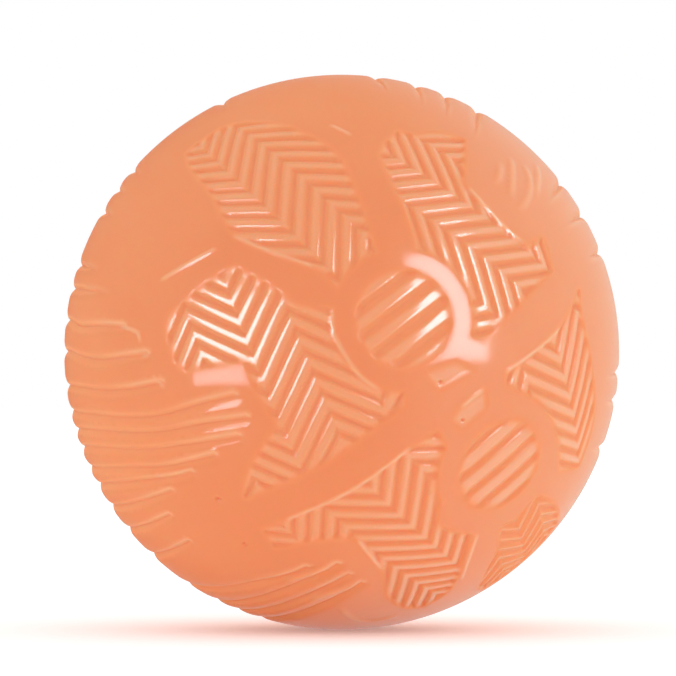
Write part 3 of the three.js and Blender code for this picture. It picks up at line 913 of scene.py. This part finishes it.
class HalfBlank(Shell):
    """Half of the ball before its relief is moulded: a skin, an air side, a seam and perhaps a valve seat."""

    def __init__(self, with_valve):
        super().__init__()
        self.with_valve = with_valve
        self.facing = np.array([1, -1 if with_valve else 1, 1])
        self.layout = Layout(with_valve)
        mouth = boss = None
        air_limit = math.degrees(math.acos((LIP_LENGTH + LIP_CLEARANCE) / AIR_RADIUS))
        if with_valve:
            mouth = self.valve_hole(MOUTH_RADIUS, BALL_RADIUS)
            boss = self.valve_hole(BOSS_RADIUS, AIR_RADIUS)
            air_limit = RIM
        self.places, rim, mouth_loop = self.add_sheet(skin_places(self.layout, mouth), BALL_RADIUS, mouth)
        _, air_rim, boss_loop = self.add_sheet(air_places(air_limit, boss), AIR_RADIUS, boss)
        self.close_seam(rim, air_rim)
        if with_valve:
            self.add_seat(mouth_loop, boss_loop)

    def valve_hole(self, radius, sphere):
        """A hole for the valve in a sphere: its centre and edge on the map, and its reach in degrees."""
        edge = valve_ring(radius, math.sqrt(sphere**2 - radius**2), VALVE_POINTS) / sphere
        return {
            "centre": places_of(np.array([VALVE_AXIS[:]]) * self.facing)[0],
            "places": places_of(edge * self.facing), "angle": math.degrees(math.asin(radius / sphere)),
        }

    def add_sheet(self, places, sphere, hole):
        """Adds triangles over a sphere; gives their places, and the loops at the rim and round the hole."""
        places, faces = triangles_over(places)
        points = self.add_points(directions_of(places) * sphere * self.facing)
        loop = []
        if hole:
            loop = np.array([np.argmin(np.hypot(*(places - place).T)) for place in hole["places"]])
            faces = faces[~np.isin(faces, loop).all(1)]
        is_skin = sphere == BALL_RADIUS
        turned = points[faces][:, ::-1] if self.with_valve == is_skin else points[faces]
        self.add_faces(turned, is_skin)
        return places, points[rim_loop(places)], points[loop]

    def close_seam(self, rim, air_rim):
        """Joins the skin to the air side: the rear half has the lip, the front half the rebate for it."""
        lip = AIR_RADIUS + LIP_THICKNESS
        rebate = lip + LIP_CLEARANCE
        if self.with_valve:
            steps = [(lip, GLUE_GAP / 2), (lip, -LIP_LENGTH), (AIR_RADIUS, -LIP_LENGTH)]
        else:
            steps = [(rebate, -GLUE_GAP / 2), (rebate, -LIP_LENGTH - LIP_CLEARANCE)]
        rings = [np.insert(circle_places(radius, INNER_POINTS), 1, depth, 1) for radius, depth in steps]
        loops = [rim, *(self.add_points(ring) for ring in rings), air_rim]
        self.join_loops(loops[::-1] if self.with_valve else loops)

    def add_seat(self, mouth_loop, boss_loop):
        """Joins the mouth in the skin to the boss on the air side, by the flange's seat and the bore."""
        mouth_height = math.sqrt(BALL_RADIUS**2 - SEAT_RADIUS**2) - MOUTH_EASE
        steps = [
            (SEAT_RADIUS, mouth_height), (SEAT_RADIUS, SEAT_HEIGHT), (BOSS_BORE, SEAT_HEIGHT),
            (BOSS_BORE, BOSS_BOTTOM), (BOSS_RADIUS, BOSS_BOTTOM),
        ]
        loops = [self.add_points(valve_ring(radius, height, VALVE_POINTS)) for radius, height in steps]
        self.join_loops([mouth_loop, *loops, boss_loop])

    def mesh(self, name):
        """The blank as a mesh, with the layout's values on its points; those of the skin come first."""
        mesh = super().mesh(name)
        for label, values in self.layout.values(self.places).items():
            kind, elsewhere = LAYOUT_VALUES[label]
            full = np.full((len(self.points), *values.shape[1:]), elsewhere, values.dtype)
            full[:len(values)] = values
            attribute = mesh.attributes.new(label, kind, "POINT")
            attribute.data.foreach_set("vector" if kind == "FLOAT_VECTOR" else "value", full.ravel())
        return mesh


# Node trees


def join(tree, value, socket):
    """A socket's value: a link from another socket, or a plain value."""
    if isinstance(value, bpy.types.NodeSocket):
        tree.links.new(value, socket)
    else:
        socket.default_value = value


def add_node(tree, kind, inputs=None, **settings):
    """A new node with its settings made and its inputs joined."""
    node = tree.nodes.new(kind)
    for name, value in settings.items():
        setattr(node, name, value)
    for key, value in (inputs or {}).items():
        join(tree, value, node.inputs[key])
    return node


def calc(tree, operation, *values):
    """The result of one math node."""
    inputs = dict(enumerate(values))
    return add_node(tree, "ShaderNodeMath", inputs, operation=operation).outputs[0]


def eased_range(tree, value, low, high, to_low=0.0, to_high=1.0):
    """A value eased from one range to another."""
    node = add_node(
        tree, "ShaderNodeMapRange",
        {"Value": value, "From Min": low, "From Max": high, "To Min": to_low, "To Max": to_high},
        interpolation_type="SMOOTHSTEP")
    return node.outputs["Result"]


def new_group(name, kind, sockets):
    """An empty node group with its named sockets: (in or out, name, kind, default)."""
    tree = bpy.data.node_groups.new(name, kind)
    for in_out, label, socket, default in sockets:
        item = tree.interface.new_socket(label, in_out=in_out, socket_type=socket)
        if default is not None:
            item.default_value = default
    ends = tree.nodes.new("NodeGroupInput"), tree.nodes.new("NodeGroupOutput")
    return tree, ends[0].outputs, ends[1].inputs


def herringbone_group():
    """Geometry node group: how far a place on the map is from the nearest rib's crest, 0 to 1."""
    tree, given, result = new_group("Herringbone", "GeometryNodeTree", [
        ("INPUT", "Map", "NodeSocketVector", None), ("INPUT", "Corner", "NodeSocketVector", None),
        ("INPUT", "Axis", "NodeSocketFloat", 0.0), ("INPUT", "Column", "NodeSocketFloat", 10.0),
        ("INPUT", "Pitch", "NodeSocketFloat", 4.4), ("INPUT", "First Lean", "NodeSocketFloat", 1.0),
        ("INPUT", "Second Lean", "NodeSocketFloat", -1.0),
        ("OUTPUT", "From Crest", "NodeSocketFloat", None),
    ])
    step = add_node(
        tree, "ShaderNodeVectorMath", {0: given["Map"], 1: given["Corner"]}, operation="SUBTRACT")
    turned = add_node(
        tree, "ShaderNodeVectorRotate",
        {"Vector": step.outputs[0], "Angle": calc(tree, "MULTIPLY", given["Axis"], -1.0)},
        rotation_type="Z_AXIS")
    parts = add_node(tree, "ShaderNodeSeparateXYZ", {0: turned.outputs[0]}).outputs
    columns = calc(tree, "DIVIDE", parts["Y"], given["Column"])
    whole = calc(tree, "FLOOR", columns)
    odd = calc(tree, "FLOORED_MODULO", whole, 2.0)
    pairs = calc(tree, "MULTIPLY", calc(tree, "SUBTRACT", whole, odd), 0.5)
    pair_lean = calc(tree, "ADD", given["First Lean"], given["Second Lean"])
    change = calc(tree, "SUBTRACT", given["Second Lean"], given["First Lean"])
    lean = calc(tree, "MULTIPLY_ADD", odd, change, given["First Lean"])
    bend = calc(tree, "MULTIPLY", pairs, pair_lean)
    bend = calc(tree, "MULTIPLY_ADD", odd, given["First Lean"], bend)
    bend = calc(tree, "MULTIPLY_ADD", calc(tree, "SUBTRACT", columns, whole), lean, bend)
    forward = calc(tree, "SUBTRACT", parts["X"], calc(tree, "MULTIPLY", bend, given["Column"]))
    ribs = calc(tree, "DIVIDE", forward, given["Pitch"])
    crest = calc(tree, "MULTIPLY", calc(tree, "PINGPONG", ribs, 0.5), 2.0)
    join(tree, crest, result["From Crest"])
    return tree


def rib_distance(tree, place, number):
    """How far each place is from a crest of its own pocket's pattern, 0 to 1."""
    group = herringbone_group()
    levels = []
    for pattern in rib_patterns():
        first, second = leans_of(pattern)
        inputs = {
            "Map": place, "Corner": (*pattern["corner"], 0), "Axis": math.radians(pattern["axis"]),
            "Column": pattern["column"], "Pitch": pattern["pitch"], "First Lean": first,
            "Second Lean": second,
        }
        ribs = add_node(tree, "GeometryNodeGroup", inputs, node_tree=group)
        bold = pattern.get("boldness", 0.0)
        thinner = calc(tree, "MULTIPLY_ADD", ribs.outputs[0], 1 / (1 - bold), -bold / (1 - bold))
        levels.append(calc(tree, "MAXIMUM", thinner, 0.0))
    levels += [POCKET_LEVEL] * len(POCKETS)
    switch = add_node(tree, "GeometryNodeIndexSwitch", {"Index": number}, data_type="FLOAT")
    for item, level in enumerate(levels):
        if item >= len(switch.index_switch_items):
            switch.index_switch_items.new()
        join(tree, level, switch.inputs[str(item)])
    return switch.outputs[0]


def relief_tree():
    """Geometry node tree that moulds panels, ribs, scallops and the parting line into a half blank."""
    tree, given, result = new_group("Moulded Relief", "GeometryNodeTree", [
        ("INPUT", "Geometry", "NodeSocketGeometry", None),
        *(("INPUT", label, "NodeSocketFloat", None) for label in RELIEF_INPUTS),
        ("INPUT", "Material", "NodeSocketMaterial", None),
        ("OUTPUT", "Geometry", "NodeSocketGeometry", None),
    ])

    def times(first, second):
        """The product of two values."""
        return calc(tree, "MULTIPLY", first, second)

    def bump(distance, centre, width):
        """1 at a distance from a line, easing to 0 a width to either side of it."""
        off = calc(tree, "ABSOLUTE", calc(tree, "SUBTRACT", distance, centre))
        return eased_range(tree, off, 0.0, width, 1.0, 0.0)

    def dip(width, depth, power):
        """Depth at each point of a hollow along the creases."""
        share = calc(tree, "DIVIDE", calc(tree, "ABSOLUTE", crease), width)
        near = calc(tree, "MAXIMUM", calc(tree, "SUBTRACT", 1.0, share), 0.0)
        return times(calc(tree, "POWER", near, power), depth)

    values = {}
    for name, (kind, _) in LAYOUT_VALUES.items():
        node = add_node(tree, "GeometryNodeInputNamedAttribute", {"Name": name}, data_type=kind)
        values[name] = node.outputs["Attribute"]
    edge, crease, run, strength = (values[name] for name in ("edge", "crease", "run", "strength"))
    ridge, swell = values["ridge"], values["swell"]
    from_crest = rib_distance(tree, values["map"], values["pattern"])

    fall = eased_range(tree, edge, times(given["Edge Width"], EDGE_START), given["Edge Width"])
    profile = eased_range(tree, from_crest, given["Rib Crest"], 1.0, 1.0, 0.0)
    growth = times(strength, eased_range(tree, run, *SCALLOP_GROWS))
    steep = calc(tree, "GREATER_THAN", crease, 0.0)
    change = calc(tree, "SUBTRACT", given["Crease Near Width"], given["Crease Far Width"])
    width = calc(tree, "MULTIPLY_ADD", steep, change, given["Crease Far Width"])
    depth = times(times(given["Crease Depth"], eased_range(tree, run, *CREASE_SETTLES)), strength)
    away = add_node(tree, "ShaderNodeVectorMath", {0: values["map"]}, operation="LENGTH").outputs["Value"]
    parting = eased_range(tree, calc(tree, "SUBTRACT", RIM, away), 0.0, PARTING_WIDTH, 1.0, 0.0)
    height = times(times(profile, fall), given["Rib Height"])
    for operation, part in (
        ("SUBTRACT", times(fall, given["Panel Depth"])),
        ("ADD", times(ridge, given["Ridge Height"])),
        ("ADD", times(swell, given["Swell Height"])),
        ("SUBTRACT", times(dip(given["Scallop Width"], given["Scallop Depth"], SCALLOP_POWER), growth)),
        ("SUBTRACT", dip(width, depth, CREASE_POWER)),
        ("SUBTRACT", times(values["pit"], given["Pit Depth"])),
        ("SUBTRACT", times(parting, given["Parting Line Depth"])),
    ):
        height = calc(tree, operation, height, part)
    height = times(height, values["skin"])

    level = eased_range(tree, height, times(given["Panel Depth"], -1.0), 0.0)
    # Painted highlight: the share of the crest colour, on rib crests, fine ridges, crease shoulders
    # (strongest near their inner ends) and swells.
    blunt = times(eased_range(tree, run, *SHOULDER_FADES), strength)
    crest = times(eased_range(tree, from_crest, *CREST_LINE), fall)
    for paler in (ridge, times(bump(crease, *SHOULDER), blunt), times(swell, SWELL_CREST)):
        crest = calc(tree, "MAXIMUM", crest, paler)
    worn = calc(tree, "MULTIPLY_ADD", bump(edge, *WORN_EDGE), -WORN_SHARE, 1.0)
    gloss = times(eased_range(tree, level, *GLOSSY_LEVELS), worn)
    gloss = times(gloss, calc(tree, "MULTIPLY_ADD", fall, 1.0 - BAND_GLOSS, BAND_GLOSS))
    gloss = calc(tree, "MAXIMUM", gloss, ridge)

    # Stored for the material: the level that lays its painted fill light in recesses, the painted highlight,
    # and the gloss.
    geometry = given["Geometry"]
    for name, stored in (("relief", level), ("crest", crest), ("gloss", gloss)):
        geometry = add_node(
            tree, "GeometryNodeStoreNamedAttribute", {"Geometry": geometry, "Name": name, "Value": stored},
            data_type="FLOAT", domain="POINT").outputs[0]
    position = add_node(tree, "GeometryNodeInputPosition").outputs[0]
    outward = add_node(tree, "ShaderNodeVectorMath", {0: position}, operation="NORMALIZE").outputs[0]
    offset = add_node(tree, "ShaderNodeVectorMath", {0: outward, "Scale": height}, operation="SCALE")
    moved = add_node(
        tree, "GeometryNodeSetPosition", {"Geometry": geometry, "Offset": offset.outputs[0]})
    whole = add_node(tree, "GeometryNodeRealizeInstances", {"Geometry": moved.outputs[0]})
    dressed = add_node(
        tree, "GeometryNodeSetMaterial", {"Geometry": whole.outputs[0], "Material": given["Material"]})
    join(tree, dressed.outputs[0], result["Geometry"])
    return tree


# Materials


def mottle_group():
    """Shader node group: slow cloudiness in the pigment and fine grain from the mould."""
    found = bpy.data.node_groups.get("Rubber Mottle")
    if found:
        return found
    tree, given, result = new_group("Rubber Mottle", "ShaderNodeTree", [
        ("INPUT", "Cloud Scale", "NodeSocketFloat", 60.0),
        ("INPUT", "Grain Scale", "NodeSocketFloat", 2200.0),
        ("OUTPUT", "Cloud", "NodeSocketFloat", None), ("OUTPUT", "Grain", "NodeSocketFloat", None),
    ])
    place = tree.nodes.new("ShaderNodeTexCoord").outputs["Object"]
    for name, detail in (("Cloud", 3.0), ("Grain", 2.0)):
        noise = add_node(
            tree, "ShaderNodeTexNoise",
            {"Vector": place, "Scale": given[name + " Scale"], "Detail": detail, "Roughness": 0.55})
        join(tree, noise.outputs[0], result[name])
    return tree


def mix_colours(tree, share, first, second):
    """A colour between two others; a mix node's sockets 0, 6 and 7 are its share and its colours."""
    node = add_node(tree, "ShaderNodeMix", data_type="RGBA")
    for socket, setting in zip((0, 6, 7), (share, first, second)):
        join(tree, setting, node.inputs[socket])
    return node.outputs[2]


def rgba(colour):
    """A colour with full opacity."""
    return (*colour, 1.0)


def rubber_material(name, roughness, ridge, cloud_and_recess_fill, crest=None):
    """Soft moulded rubber: cloudy pigment, fine grain and a skin that lets light in; on the skins also a
    painted highlight on crests and a painted fill light in recesses.
    """
    material = bpy.data.materials.new(name)
    material.use_nodes = True
    tree = material.node_tree
    shader = tree.nodes["Principled BSDF"]
    for label, setting in RUBBER.items():
        shader.inputs[label].default_value = setting
    mottle = add_node(tree, "ShaderNodeGroup", node_tree=mottle_group())
    cloud, grain = mottle.outputs["Cloud"], mottle.outputs["Grain"]
    share = calc(tree, "MULTIPLY", eased_range(tree, cloud, *CLOUD_COLOUR), CLOUD_SHARE)
    colour = mix_colours(tree, share, rgba(ridge), rgba(cloud_and_recess_fill))
    if crest:
        level, painted_highlight, gloss = (
            add_node(tree, "ShaderNodeAttribute", attribute_name=label).outputs["Fac"]
            for label in ("relief", "crest", "gloss"))
        # Painted fill light: panel floors and creases take a paler colour by their level, to lift their
        # shade.
        colour = mix_colours(tree, level, rgba(cloud_and_recess_fill), colour)
        # Painted highlight: crests, ridges, crease shoulders and swells take the paler crest colour.
        colour = mix_colours(tree, painted_highlight, colour, rgba(crest))
        join(tree, calc(tree, "MULTIPLY", gloss, SKIN_COAT), shader.inputs["Coat Weight"])
    rough = eased_range(tree, cloud, *CLOUD_ROUGHNESS, roughness - SMOOTHER, roughness + ROUGHER)
    bump = add_node(tree, "ShaderNodeBump", {"Height": grain, **GRAIN})
    join(tree, colour, shader.inputs["Base Color"])
    join(tree, rough, shader.inputs["Roughness"])
    join(tree, bump.outputs[0], shader.inputs["Normal"])
    return material


# Pieces


def add_piece(name, mesh, body, node):
    """Puts a finished mesh into the scene in place of a CAD node."""
    piece = bpy.data.objects.new(name, mesh)
    bpy.context.scene.collection.objects.link(piece)
    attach(piece, body)
    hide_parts(node)
    return piece


def socket_name(tree, label):
    """The identifier of a tree's input."""
    return next(item.identifier for item in tree.interface.items_tree
                if item.item_type == "SOCKET" and item.in_out == "INPUT" and item.name == label)


def moulded_half(context, name, with_valve):
    """A half blank with the relief moulded into it, as a plain mesh."""
    settings = context.scene.ball_skin
    tree = bpy.data.node_groups.get("Moulded Relief") or relief_tree()
    material = bpy.data.materials.get("coral_rubber") or rubber_material(
        "coral_rubber", SKIN_ROUGHNESS, settings.ridge_colour, settings.groove_colour, settings.crest_colour)
    spare = HalfBlank(with_valve).mesh(name + "_blank")
    blank = bpy.data.objects.new(name + "_blank", spare)
    context.scene.collection.objects.link(blank)
    modifier = blank.modifiers.new("Moulded Relief", "NODES")
    modifier.node_group = tree
    for label, size in RELIEF_INPUTS.items():
        modifier[socket_name(tree, label)] = getattr(settings, size)
    modifier[socket_name(tree, "Material")] = material
    shaped = blank.evaluated_get(context.evaluated_depsgraph_get())
    mesh = bpy.data.meshes.new_from_object(shaped)
    mesh.name = name
    bpy.data.objects.remove(blank)
    bpy.data.meshes.remove(spare)
    for label in LAYOUT_VALUES:
        mesh.attributes.remove(mesh.attributes[label])
    return mesh


def eased_profile(profile, ease):
    """A turned profile with its corners rounded, as (radius, height) points; the ends stay."""
    corners = np.array(profile)
    drawn = [corners[0]]
    for before, corner, after in zip(corners[:-2], corners[1:-1], corners[2:]):
        back, ahead = before - corner, after - corner
        cut = min(PROFILE_SHARE * min(np.hypot(*back), np.hypot(*ahead)), ease)
        back, ahead = back / np.hypot(*back) * cut, ahead / np.hypot(*ahead) * cut
        drawn += [corner + back * (1 - t) ** 2 + ahead * t**2 for t in PROFILE_STEPS]
    return [*drawn, corners[-1]]


def turned_piece(profile, sides, closed):
    """A piece turned about the valve's axis; the profile closes on itself or starts and ends on the axis."""
    shell = Shell()
    rings = [valve_ring(radius, height, sides if radius else 1) for radius, height in profile]
    loops = [shell.add_points(ring) for ring in rings]
    shell.join_loops([*loops, loops[0]] if closed else loops, True)
    return shell


def press_notch(shell):
    """Widens a sleeve's recess on one side, so that a nail reaches under the plug's head."""
    side, up = valve_frame()
    points = np.array(shell.points)
    across, along = points @ side, points @ up
    radius = np.hypot(across, along)
    depth = (FLANGE_RADIUS - PLUG_RECESS) / 2
    above = points @ np.array(VALVE_AXIS) > PLUG_SEAT - NOTCH_MARGIN
    wall = above & (np.abs(radius - PLUG_RECESS) < depth / 2)
    turn = np.abs(np.arctan2(along, across)) / math.asin(NAIL_NOTCH_WIDTH / 2 / PLUG_RECESS)
    reach = depth * np.clip(NOTCH_SLOPE * (NOTCH_REACH - turn), 0, 1) * wall
    outward = (across[:, None] * side + along[:, None] * up) / np.maximum(radius, NOT_ZERO)[:, None]
    shell.points = list(map(tuple, points + reach[:, None] * outward))


def valve_material(context):
    """The paler rubber of the sleeve and its plug."""
    colour = context.scene.ball_valve.colour
    deep = [channel * VALVE_SHADE for channel in colour]
    return bpy.data.materials.get("peach_rubber") or rubber_material(
        "peach_rubber", VALVE_ROUGHNESS, colour, deep)


class MouldFront(bpy.types.Operator):
    """Moulds the front skin with its panels, medallions, strap and scallops"""

    bl_idname = "sensory_ball.mould_front"
    bl_label = "Front Skin"

    def execute(self, context):
        mesh = moulded_half(context, "front_skin", False)
        add_piece("front_skin", mesh, "ball", "front_shell")
        return {"FINISHED"}


class MouldRear(bpy.types.Operator):
    """Moulds the rear skin, with the valve's seat in one medallion"""

    bl_idname = "sensory_ball.mould_rear"
    bl_label = "Rear Skin"

    def execute(self, context):
        mesh = moulded_half(context, "rear_skin", True)
        add_piece("rear_skin", mesh, "ball", "rear_shell")
        return {"FINISHED"}


class FitSleeve(bpy.types.Operator):
    """Turns the flanged sleeve and presses a nail notch into its face"""

    bl_idname = "sensory_ball.fit_sleeve"
    bl_label = "Valve Sleeve"

    def execute(self, context):
        settings = context.scene.ball_valve
        flange = VALVE_FACE - FLANGE_THICKNESS
        barb_top = BOSS_BOTTOM - VALVE_CLEARANCE
        barb_bottom = barb_top - BARB_LENGTH
        corners = [
            (SLEEVE_BORE, barb_bottom), (SLEEVE_RADIUS, barb_bottom), (BARB_RADIUS, barb_top - BARB_LAND),
            (BARB_RADIUS, barb_top), (SLEEVE_RADIUS, barb_top), (SLEEVE_RADIUS, flange),
            (FLANGE_RADIUS, flange), (FLANGE_RADIUS, VALVE_FACE), (PLUG_RECESS, VALVE_FACE),
            (PLUG_RECESS, PLUG_SEAT), (SLEEVE_BORE, PLUG_SEAT),
        ]
        profile = eased_profile([corners[-1], *corners, corners[0]], settings.edge_ease)[1:-1]
        shell = turned_piece(profile, settings.sides, True)
        press_notch(shell)
        mesh = shell.mesh("valve_grommet")
        mesh.materials.append(valve_material(context))
        add_piece("valve_grommet", mesh, "ball", "valve_sleeve")
        return {"FINISHED"}


class FitPlug(bpy.types.Operator):
    """Turns the stopper that closes the valve"""

    bl_idname = "sensory_ball.fit_plug"
    bl_label = "Valve Plug"

    def execute(self, context):
        settings = context.scene.ball_valve
        head = VALVE_FACE - PLUG_HEAD_THICKNESS
        tip = head - PLUG_SHANK_LENGTH
        corners = [
            (0, tip), (PLUG_TIP_RADIUS, tip), (PLUG_SHANK_RADIUS, tip + PLUG_SHANK_RADIUS),
            (PLUG_SHANK_RADIUS, head), (PLUG_HEAD_RADIUS, head), (PLUG_HEAD_RADIUS, VALVE_FACE),
            (0, VALVE_FACE),
        ]
        profile = eased_profile(corners, settings.edge_ease)
        mesh = turned_piece(profile, settings.sides, False).mesh("valve_stopper")
        mesh.materials.append(valve_material(context))
        add_piece("valve_stopper", mesh, "plug", "valve_plug")
        return {"FINISHED"}


# Stage


def soft_light(name, place, size, brightness, gloss_only=False):
    """A rectangular softbox that faces the ball, or a bright card that only its gloss reflects."""
    lamp = bpy.data.lights.new(name, "AREA")
    lamp.shape = "RECTANGLE"
    lamp.size, lamp.size_y = size
    lamp.energy = LAMP_WATTS * brightness * size[0] * size[1]
    lamp.color = COOL_WHITE if gloss_only else WARM_WHITE
    light = bpy.data.objects.new(name, lamp)
    light.location = place
    light.rotation_euler = (-place).to_track_quat("-Z", "Y").to_euler()
    light.visible_diffuse = not gloss_only
    light.visible_glossy = gloss_only
    bpy.context.scene.collection.objects.link(light)


def floor_material(colour):
    """Pale matt table, faintly lit from below, that meets the white backdrop."""
    material = bpy.data.materials.new("pale_floor")
    material.use_nodes = True
    tree = material.node_tree
    shader = tree.nodes["Principled BSDF"]
    shader.inputs["Base Color"].default_value = rgba(colour)
    shader.inputs["Roughness"].default_value = FLOOR_ROUGHNESS
    shader.inputs["Specular IOR Level"].default_value = 0.0
    shader.inputs["Emission Color"].default_value = rgba(WHITE)
    shader.inputs["Emission Strength"].default_value = TABLE_GLOW
    return material


def white_world(ambient):
    """Even soft light, gloss that is bright at the right, and a backdrop that the camera sees as white."""
    world = bpy.data.worlds.new("white_backdrop")
    world.use_nodes = True
    tree = world.node_tree
    way = tree.nodes.new("ShaderNodeTexCoord").outputs["Generated"]
    slope, lean = (
        add_node(tree, "ShaderNodeVectorMath", {0: way, 1: towards}, operation="DOT_PRODUCT").outputs["Value"]
        for towards in (BRIGHT_WAY, LIGHT_LEAN))
    even = calc(tree, "MULTIPLY_ADD", lean, ambient, ambient)
    path = tree.nodes.new("ShaderNodeLightPath").outputs
    shown = calc(tree, "MAXIMUM", path["Is Glossy Ray"], path["Is Transmission Ray"])
    sides = mix_colours(tree, eased_range(tree, slope, *BRIGHT_RISE), rgba(WARM_SIDE), rgba(BRIGHT_SIDE))
    colour = mix_colours(tree, shown, rgba(WHITE), sides)
    strength = calc(tree, "MULTIPLY_ADD", shown, calc(tree, "SUBTRACT", 1.0, even), even)
    strength = calc(tree, "MAXIMUM", strength, path["Is Camera Ray"])
    back = tree.nodes["Background"]
    join(tree, colour, back.inputs["Color"])
    join(tree, strength, back.inputs["Strength"])
    return world


class SetStage(bpy.types.Operator):
    """Sets the floor, the lights and the camera"""

    bl_idname = "sensory_ball.set_stage"
    bl_label = "Stage"

    def execute(self, context):
        settings = context.scene.ball_stage
        scene = context.scene
        scene.view_settings.view_transform = "Standard"
        scene.world = white_world(settings.ambient)
        ring = np.insert(circle_places(settings.floor_radius, FLOOR_SIDES), 2, FLOOR_HEIGHT, 1)
        mesh = bpy.data.meshes.new("floor")
        mesh.from_pydata(ring.tolist(), [], [tuple(range(FLOOR_SIDES))])
        mesh.materials.append(floor_material(settings.floor_colour))
        floor = bpy.data.objects.new("floor", mesh)
        scene.collection.objects.link(floor)
        floor.visible_glossy = False
        soft_light("key_softbox", KEY_PLACE, KEY_SIZE, settings.key_light)
        soft_light("side_softbox", SIDE_PLACE, SIDE_SIZE, settings.side_light)
        soft_light("key_card", KEY_PLACE * CARD_SHARE, KEY_SIZE, settings.key_shine, True)
        soft_light("side_card", SIDE_PLACE * CARD_SHARE, SIDE_SIZE, settings.side_shine, True)
        lens = bpy.data.cameras.new("camera")
        for name, setting in LENS.items():
            setattr(lens, name, setting)
        camera = bpy.data.objects.new("camera", lens)
        camera.location = (0, -settings.camera_distance, 0)
        camera.rotation_euler = (math.pi / 2, 0, 0)
        scene.collection.objects.link(camera)
        scene.camera = camera
        return {"FINISHED"}


class BallPanel(bpy.types.Panel):
    """Lists the settings and the steps that make the ball"""

    bl_idname = "VIEW3D_PT_sensory_ball"
    bl_label = "Sensory Ball"
    bl_space_type = "VIEW_3D"
    bl_region_type = "UI"
    bl_category = "Sensory Ball"

    def draw(self, context):
        for group in SETTINGS:
            settings = getattr(context.scene, group)
            box = self.layout.box()
            for name in settings.__annotations__:
                box.prop(settings, name)
        for operator in OPERATORS:
            self.layout.operator(operator.bl_idname)


SETTINGS = {"ball_skin": SkinSettings, "ball_valve": ValveSettings, "ball_stage": StageSettings}
OPERATORS = [SetStage, MouldFront, MouldRear, FitSleeve, FitPlug]


def register():
    """Registers the classes and gives the scene its settings."""
    for cls in [*SETTINGS.values(), *OPERATORS, BallPanel]:
        bpy.utils.register_class(cls)
    for name, cls in SETTINGS.items():
        setattr(bpy.types.Scene, name, PointerProperty(type=cls))


def unregister():
    """Takes the settings and the classes away again."""
    for name in SETTINGS:
        delattr(bpy.types.Scene, name)
    for cls in reversed([*SETTINGS.values(), *OPERATORS, BallPanel]):
        bpy.utils.unregister_class(cls)


def main():
    """Makes the stage and the four pieces."""
    register()
    bpy.ops.sensory_ball.set_stage()
    bpy.ops.sensory_ball.mould_front()
    bpy.ops.sensory_ball.mould_rear()
    bpy.ops.sensory_ball.fit_sleeve()
    bpy.ops.sensory_ball.fit_plug()


if __name__ == "__main__":
    main()
